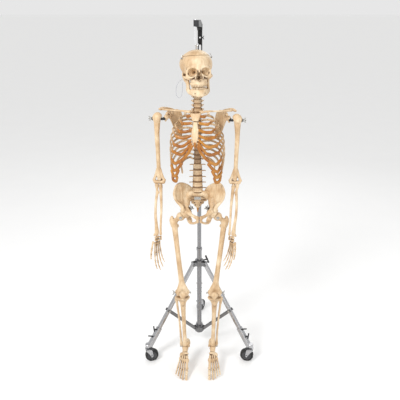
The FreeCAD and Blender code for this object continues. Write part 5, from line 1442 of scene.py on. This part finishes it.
def make_trunk_hardware():
    x, y = SPINE_X, spine_y(1030)
    s = Shop()
    s.slab((x, y - 21.5, 1004), ACROSS, UP,
           [(-15, -7), (15, -7), (17, -4), (17, 5), (14, 8), (-14, 8), (-17, 5),
                                             (-17, -4)], 2.4)
    for k in (-1, 1):
        s.disc((x + k * 9, y - 22.4, 1004), FRONT, 5, 1.0)
        s.nut((x + k * 9, y - 23.3, 1004), FRONT, 7.5, 3.6)
    s.make("sacrum_plate", "trunk", "zinc")
    turn, _ = head_frame()
    for name, side in SIDES.items():
        base = pivot(f"cap_catch_turn_{name}")
        out, up = turn @ arr(side, 0, 0), turn @ UP
        c = Shop()
        c.shaft(base - out * 12, base + out * 3, 2.1, 8)
        c.lathe(base + out * 2.4, out, [(0, 3.9), (0.6, 4.3), (1.8, 4.0), (2.5, 2.4)])
        line = [base + out * 0.9 + up * -3, base + out * 0.9 + up * 6, base - out * 2.6 + up * 13,
                base - out * 6 + up * 17]
        c.rod(line, 1.5)
        c.disc(base + out * 0.2, out, 4.4, 1.5)
        c.make(f"cap_hook_{name}", f"catch_{name}", "zinc", f"cap_catch_{name}")


# ---------------------------------------------------------------- stand
LEG_WIDTH, LEG_WALL, BRACE_SHARE = 19, 2, 0.56


def square(half, corner):
    """A square outline with rounded corners."""
    points = []
    for cx, cy, start in ((1, 1, 0), (-1, 1, 90), (-1, -1, 180), (1, -1, 270)):
        for a in np.radians([start, start + 30, start + 60, start + 90]):
            points.append((cx * (half - corner) + corner * math.cos(a),
                           cy * (half - corner) + corner * math.sin(a)))
    return points


def make_leg(name):
    top, stem = pivot(f"leg_fold_{name}"), pivot(f"caster_swivel_{name}")
    outward = unit((stem[0], stem[1], 0))
    foot = stem - outward * 8 + arr(0, 0, 7)
    along, side = unit(foot - top), axis_of(f"leg_fold_{name}")
    length = float(np.linalg.norm(foot - top))
    normal = np.cross(along, side)
    body = f"leg_{name}"

    def prism(shop, start, end, outer, inner):
        loops = []
        for t in (start, end):
            for ring in (outer, inner):
                loops.append([shop.bm.verts.new(top + along * t + side * a + normal * b) for a, b in ring])
        n = len(outer)
        for i in range(n):
            k = (i + 1) % n
            o0, i0, o1, i1 = ([ring[i], ring[k]] for ring in loops)
            shop.bm.faces.new((o0[0], o0[1], o1[1], o1[0]))
            shop.bm.faces.new((i0[0], i1[0], i1[1], i0[1]))
            shop.bm.faces.new((o0[0], i0[0], i0[1], o0[1]))
            shop.bm.faces.new((o1[0], o1[1], i1[1], i1[0]))
    tube = Shop()
    prism(tube, -8, length - 2, square(LEG_WIDTH / 2, 2.6), square(LEG_WIDTH / 2 - LEG_WALL, 1.4))
    tube.make(f"leg_tube_{name}", body, "chrome", f"tripod_leg_{name}")
    clamp = Shop()
    prism(clamp, length - 124, length - 6, square(LEG_WIDTH / 2 + 4, 4.5), square(LEG_WIDTH / 2 + 0.2, 2.4))
    crown = stem + arr(0, 0, 10)
    clamp.lathe(crown - arr(0, 0, 1), UP, [(0, 13), (1.5, 15), (18, 15), (20, 13)])
    clamp.make(f"leg_clamp_{name}", body, "chrome")
    screws = Shop()
    up_side = normal if normal[2] > 0 else -normal
    for distance, tilt in ((length - 108, 1), (length - 62, -1)):
        seat = top + along * distance + up_side * (LEG_WIDTH / 2 + 4)
        tip = seat + up_side * 16
        wing = unit(along * 0.55 + side * tilt)
        screws.lathe(seat, up_side, [(0, 5.5), (2, 5.5), (3, 3.6), (13, 3.2), (16, 4.6), (19, 3.8)])
        screws.lathe(tip - wing * 18, wing,
                     [(0, 2.4), (1, 3.8), (5, 4.3), (13, 3.6), (18, 4.6), (23, 3.6), (31, 4.3),
                                             (35, 3.8), (36, 2.4)])
    screws.make(f"leg_screws_{name}", body, "black")
    bolt = Shop()
    middle_at = top + along * length * BRACE_SHARE
    for k in (-1, 1):
        bolt.nut(middle_at + side * k * (LEG_WIDTH / 2 + 4.4), side * k, 10, 4.4)
        bolt.disc(middle_at + side * k * (LEG_WIDTH / 2 + 4.1), side * k, 6.5, 0.6, 0.2)
    bolt.shaft(middle_at - side * (LEG_WIDTH / 2 + 9), middle_at + side * (LEG_WIDTH / 2 + 9), 2.9, 4)
    bolt.make(f"leg_bolt_{name}", body, "zinc")


def make_caster(name):
    stem = pivot(f"caster_swivel_{name}")
    axle, axis = pivot(f"wheel_roll_{name}"), axis_of(f"wheel_roll_{name}")
    trail = unit((axle - stem) * arr(1, 1, 0))
    radius, half = axle[2], 14
    tyre = Shop()
    tread = [(-half + 1, radius * 0.72), (-half, radius * 0.80), (-half, radius - 6),
             (-half + 1.6, radius - 2.2),
             (-half + 5, radius - 0.3), (-3.2, radius), (-2.4, radius - 1.3), (2.4, radius - 1.3),
             (3.2, radius),
             (half - 5, radius - 0.3), (half - 1.6, radius - 2.2), (half, radius - 6), (half, radius * 0.80),
             (half - 1, radius * 0.72)]
    tyre.lathe(axle, axis, tread, 56)
    tyre.make(f"tyre_{name}", f"wheel_{name}", "rubber", f"caster_wheel_{name}")
    hub = Shop()
    for k in (-1, 1):
        hub.lathe(axle + axis * k * (half - 1.6), axis * k, [(0, radius * 0.70), (1.6, radius * 0.70),
                                                             (1.9, radius * 0.64), (0.7, radius * 0.58),
                                                             (0.7, radius * 0.34), (2.4, radius * 0.28),
                                                             (2.4, 6.5), (2.0, 5.6)], 40)
        for i in range(6):
            angle = math.tau * i / 6
            rise = UP * math.sin(angle) + np.cross(axis, UP) * math.cos(angle)
            hub.disc(axle + axis * k * (half - 1.0) + rise * radius * 0.46, axis * k, 2.6, 1.4)
    hub.make(f"wheel_hub_{name}", f"wheel_{name}", "grey_plastic")
    fork = Shop()
    top = stem[2]
    outline = [(-15, top - 4.4), (17, top - 4.4), (23, top - 13), (27, radius + 5), (26.5, radius - 4),
               (23, radius - 7.5),
               (17, radius - 7.5), (13.5, radius - 3), (8, radius + 12), (-6, top - 17), (-13, top - 11)]
    base = stem * arr(1, 1, 0)
    for k in (-1, 1):
        fork.slab(base + axis * k * (half + 2), trail, UP, outline, 2.4, 0.7)
        fork.nut(axle + axis * k * (half + 3.2), axis * k, 11, 4.4)
    fork.slab(stem - arr(0, 0, 5.8) + trail, trail, axis,
              [(-15, -17), (15, -17), (16, -15), (16, 15), (15, 17),
                                                               (-15, 17), (-16, 15), (-16, -15)], 2.8)
    fork.lathe(stem - arr(0, 0, 4.4), UP, [(0, 15), (0.8, 17), (3, 17), (4.1, 14.5)], 36)
    fork.shaft(axle - axis * 19, axle + axis * 19, 3.8)
    fork.make(f"caster_fork_plates_{name}", f"fork_{name}", "chrome", f"caster_fork_{name}")
    brake = Shop()
    heel = base + trail * 20 + arr(0, 0, top - 9)
    outline = [(-13, -2), (13, -2), (14, 4), (12, 18), (8, 22), (-8, 22), (-12, 18), (-14, 4)]
    brake.slab(heel + arr(0, 0, 1), axis, trail * 0.86 - UP * 0.5, outline, 3.4, 1.0)
    brake.shaft(heel - axis * 16 - arr(0, 0, 2), heel + axis * 16 - arr(0, 0, 2), 2.4)
    brake.make(f"brake_pedal_{name}", f"fork_{name}", "black")


def make_collar_handle():
    seat, axis = pivot("collar_handle_turn"), axis_of("collar_handle_turn")
    side = np.cross(UP, axis)
    wing = unit(side * 17 + UP * 14)
    h = Shop()
    h.lathe(seat + axis * 16, axis, [(0, 3.9), (8.4, 3.9), (8.6, 6.4), (11, 6.6), (12, 4.4), (26, 4.0),
                                     (32, 5.4), (38, 6),
                                     (41, 4.4)])
    tip = seat + axis * 52
    h.lathe(tip - wing * 24, wing, [(0, 3), (1.2, 4.8), (7, 5.4), (17, 4.4), (24, 5.6), (31, 4.4), (41, 5.4),
                                    (46.8, 4.8),
                                    (48, 3)])
    h.make("collar_knob", "collar_handle", "black", "collar_handle")


def dress_frame():
    """The CAD pieces that stay get their finishes."""
    finishes = {"column_outer": "tube", "column_inner": "tube", "base_hub": "steel", "leg_collar": "steel",
                "hanger_bracket": "black", "hanging_rod": "bright", "skull_eyebolt": "zinc",
                "spinal_rod": "zinc"}
    finishes.update({f"brace_{name}": "steel" for name in ("right", "left", "rear")})
    for node, finish in finishes.items():
        mesh = frame["nodes"][node].data
        mesh.materials.clear()
        mesh.materials.append(MATERIALS[finish])


# ---------------------------------------------------------------- the tag's loop of nylon
LOOP = [(-0.077, -0.214, 1.597), (-0.086, -0.222, 1.592), (-0.097, -0.2245, 1.581), (-0.1035, -0.225, 1.565),
        (-0.106, -0.2245, 1.547), (-0.105, -0.224, 1.530), (-0.099, -0.2235, 1.517), (-0.088, -0.2225, 1.514),
        (-0.080, -0.2215, 1.525), (-0.077, -0.221, 1.543), (-0.076, -0.220, 1.563), (-0.075, -0.218, 1.583)]
LOOP_DIAMETER, LOOP_LENGTH = 0.0022, 0.176


def make_tag_loop():
    data = bpy.data.curves.new("tag_cord", "CURVE")
    data.dimensions = "3D"
    data.bevel_depth, data.bevel_resolution, data.resolution_u = LOOP_DIAMETER / 2, 3, 8
    data.use_fill_caps = True
    spline = data.splines.new("NURBS")
    spline.points.add(len(LOOP) - 1)
    for point, spot in zip(spline.points, LOOP):
        point.co = (*spot, 1)
    spline.use_endpoint_u = True
    spline.order_u = 3
    cord = link("tag_cord", data)
    place(cord, "skull", MATERIALS["nylon"], "nylon", "tag_loop")


MATERIALS = make_materials()
make_studio()
make_tag_loop()
make_head()
make_spine()
make_sacrum()
CHEST = chest_frame()
make_ribs(CHEST)
make_sternum(CHEST)
make_collarbones(CHEST)
make_shoulder_blades(CHEST)
make_pelvis()
for side_name in SIDES:
    make_arm(side_name)
    make_thigh(side_name)
    make_shin(side_name)
    make_foot(side_name)
    make_arm_hardware(side_name)
    make_leg_hardware(side_name)
make_trunk_hardware()
for leg_name in ("right", "left", "rear"):
    make_leg(leg_name)
    make_caster(leg_name)
make_collar_handle()
dress_frame()
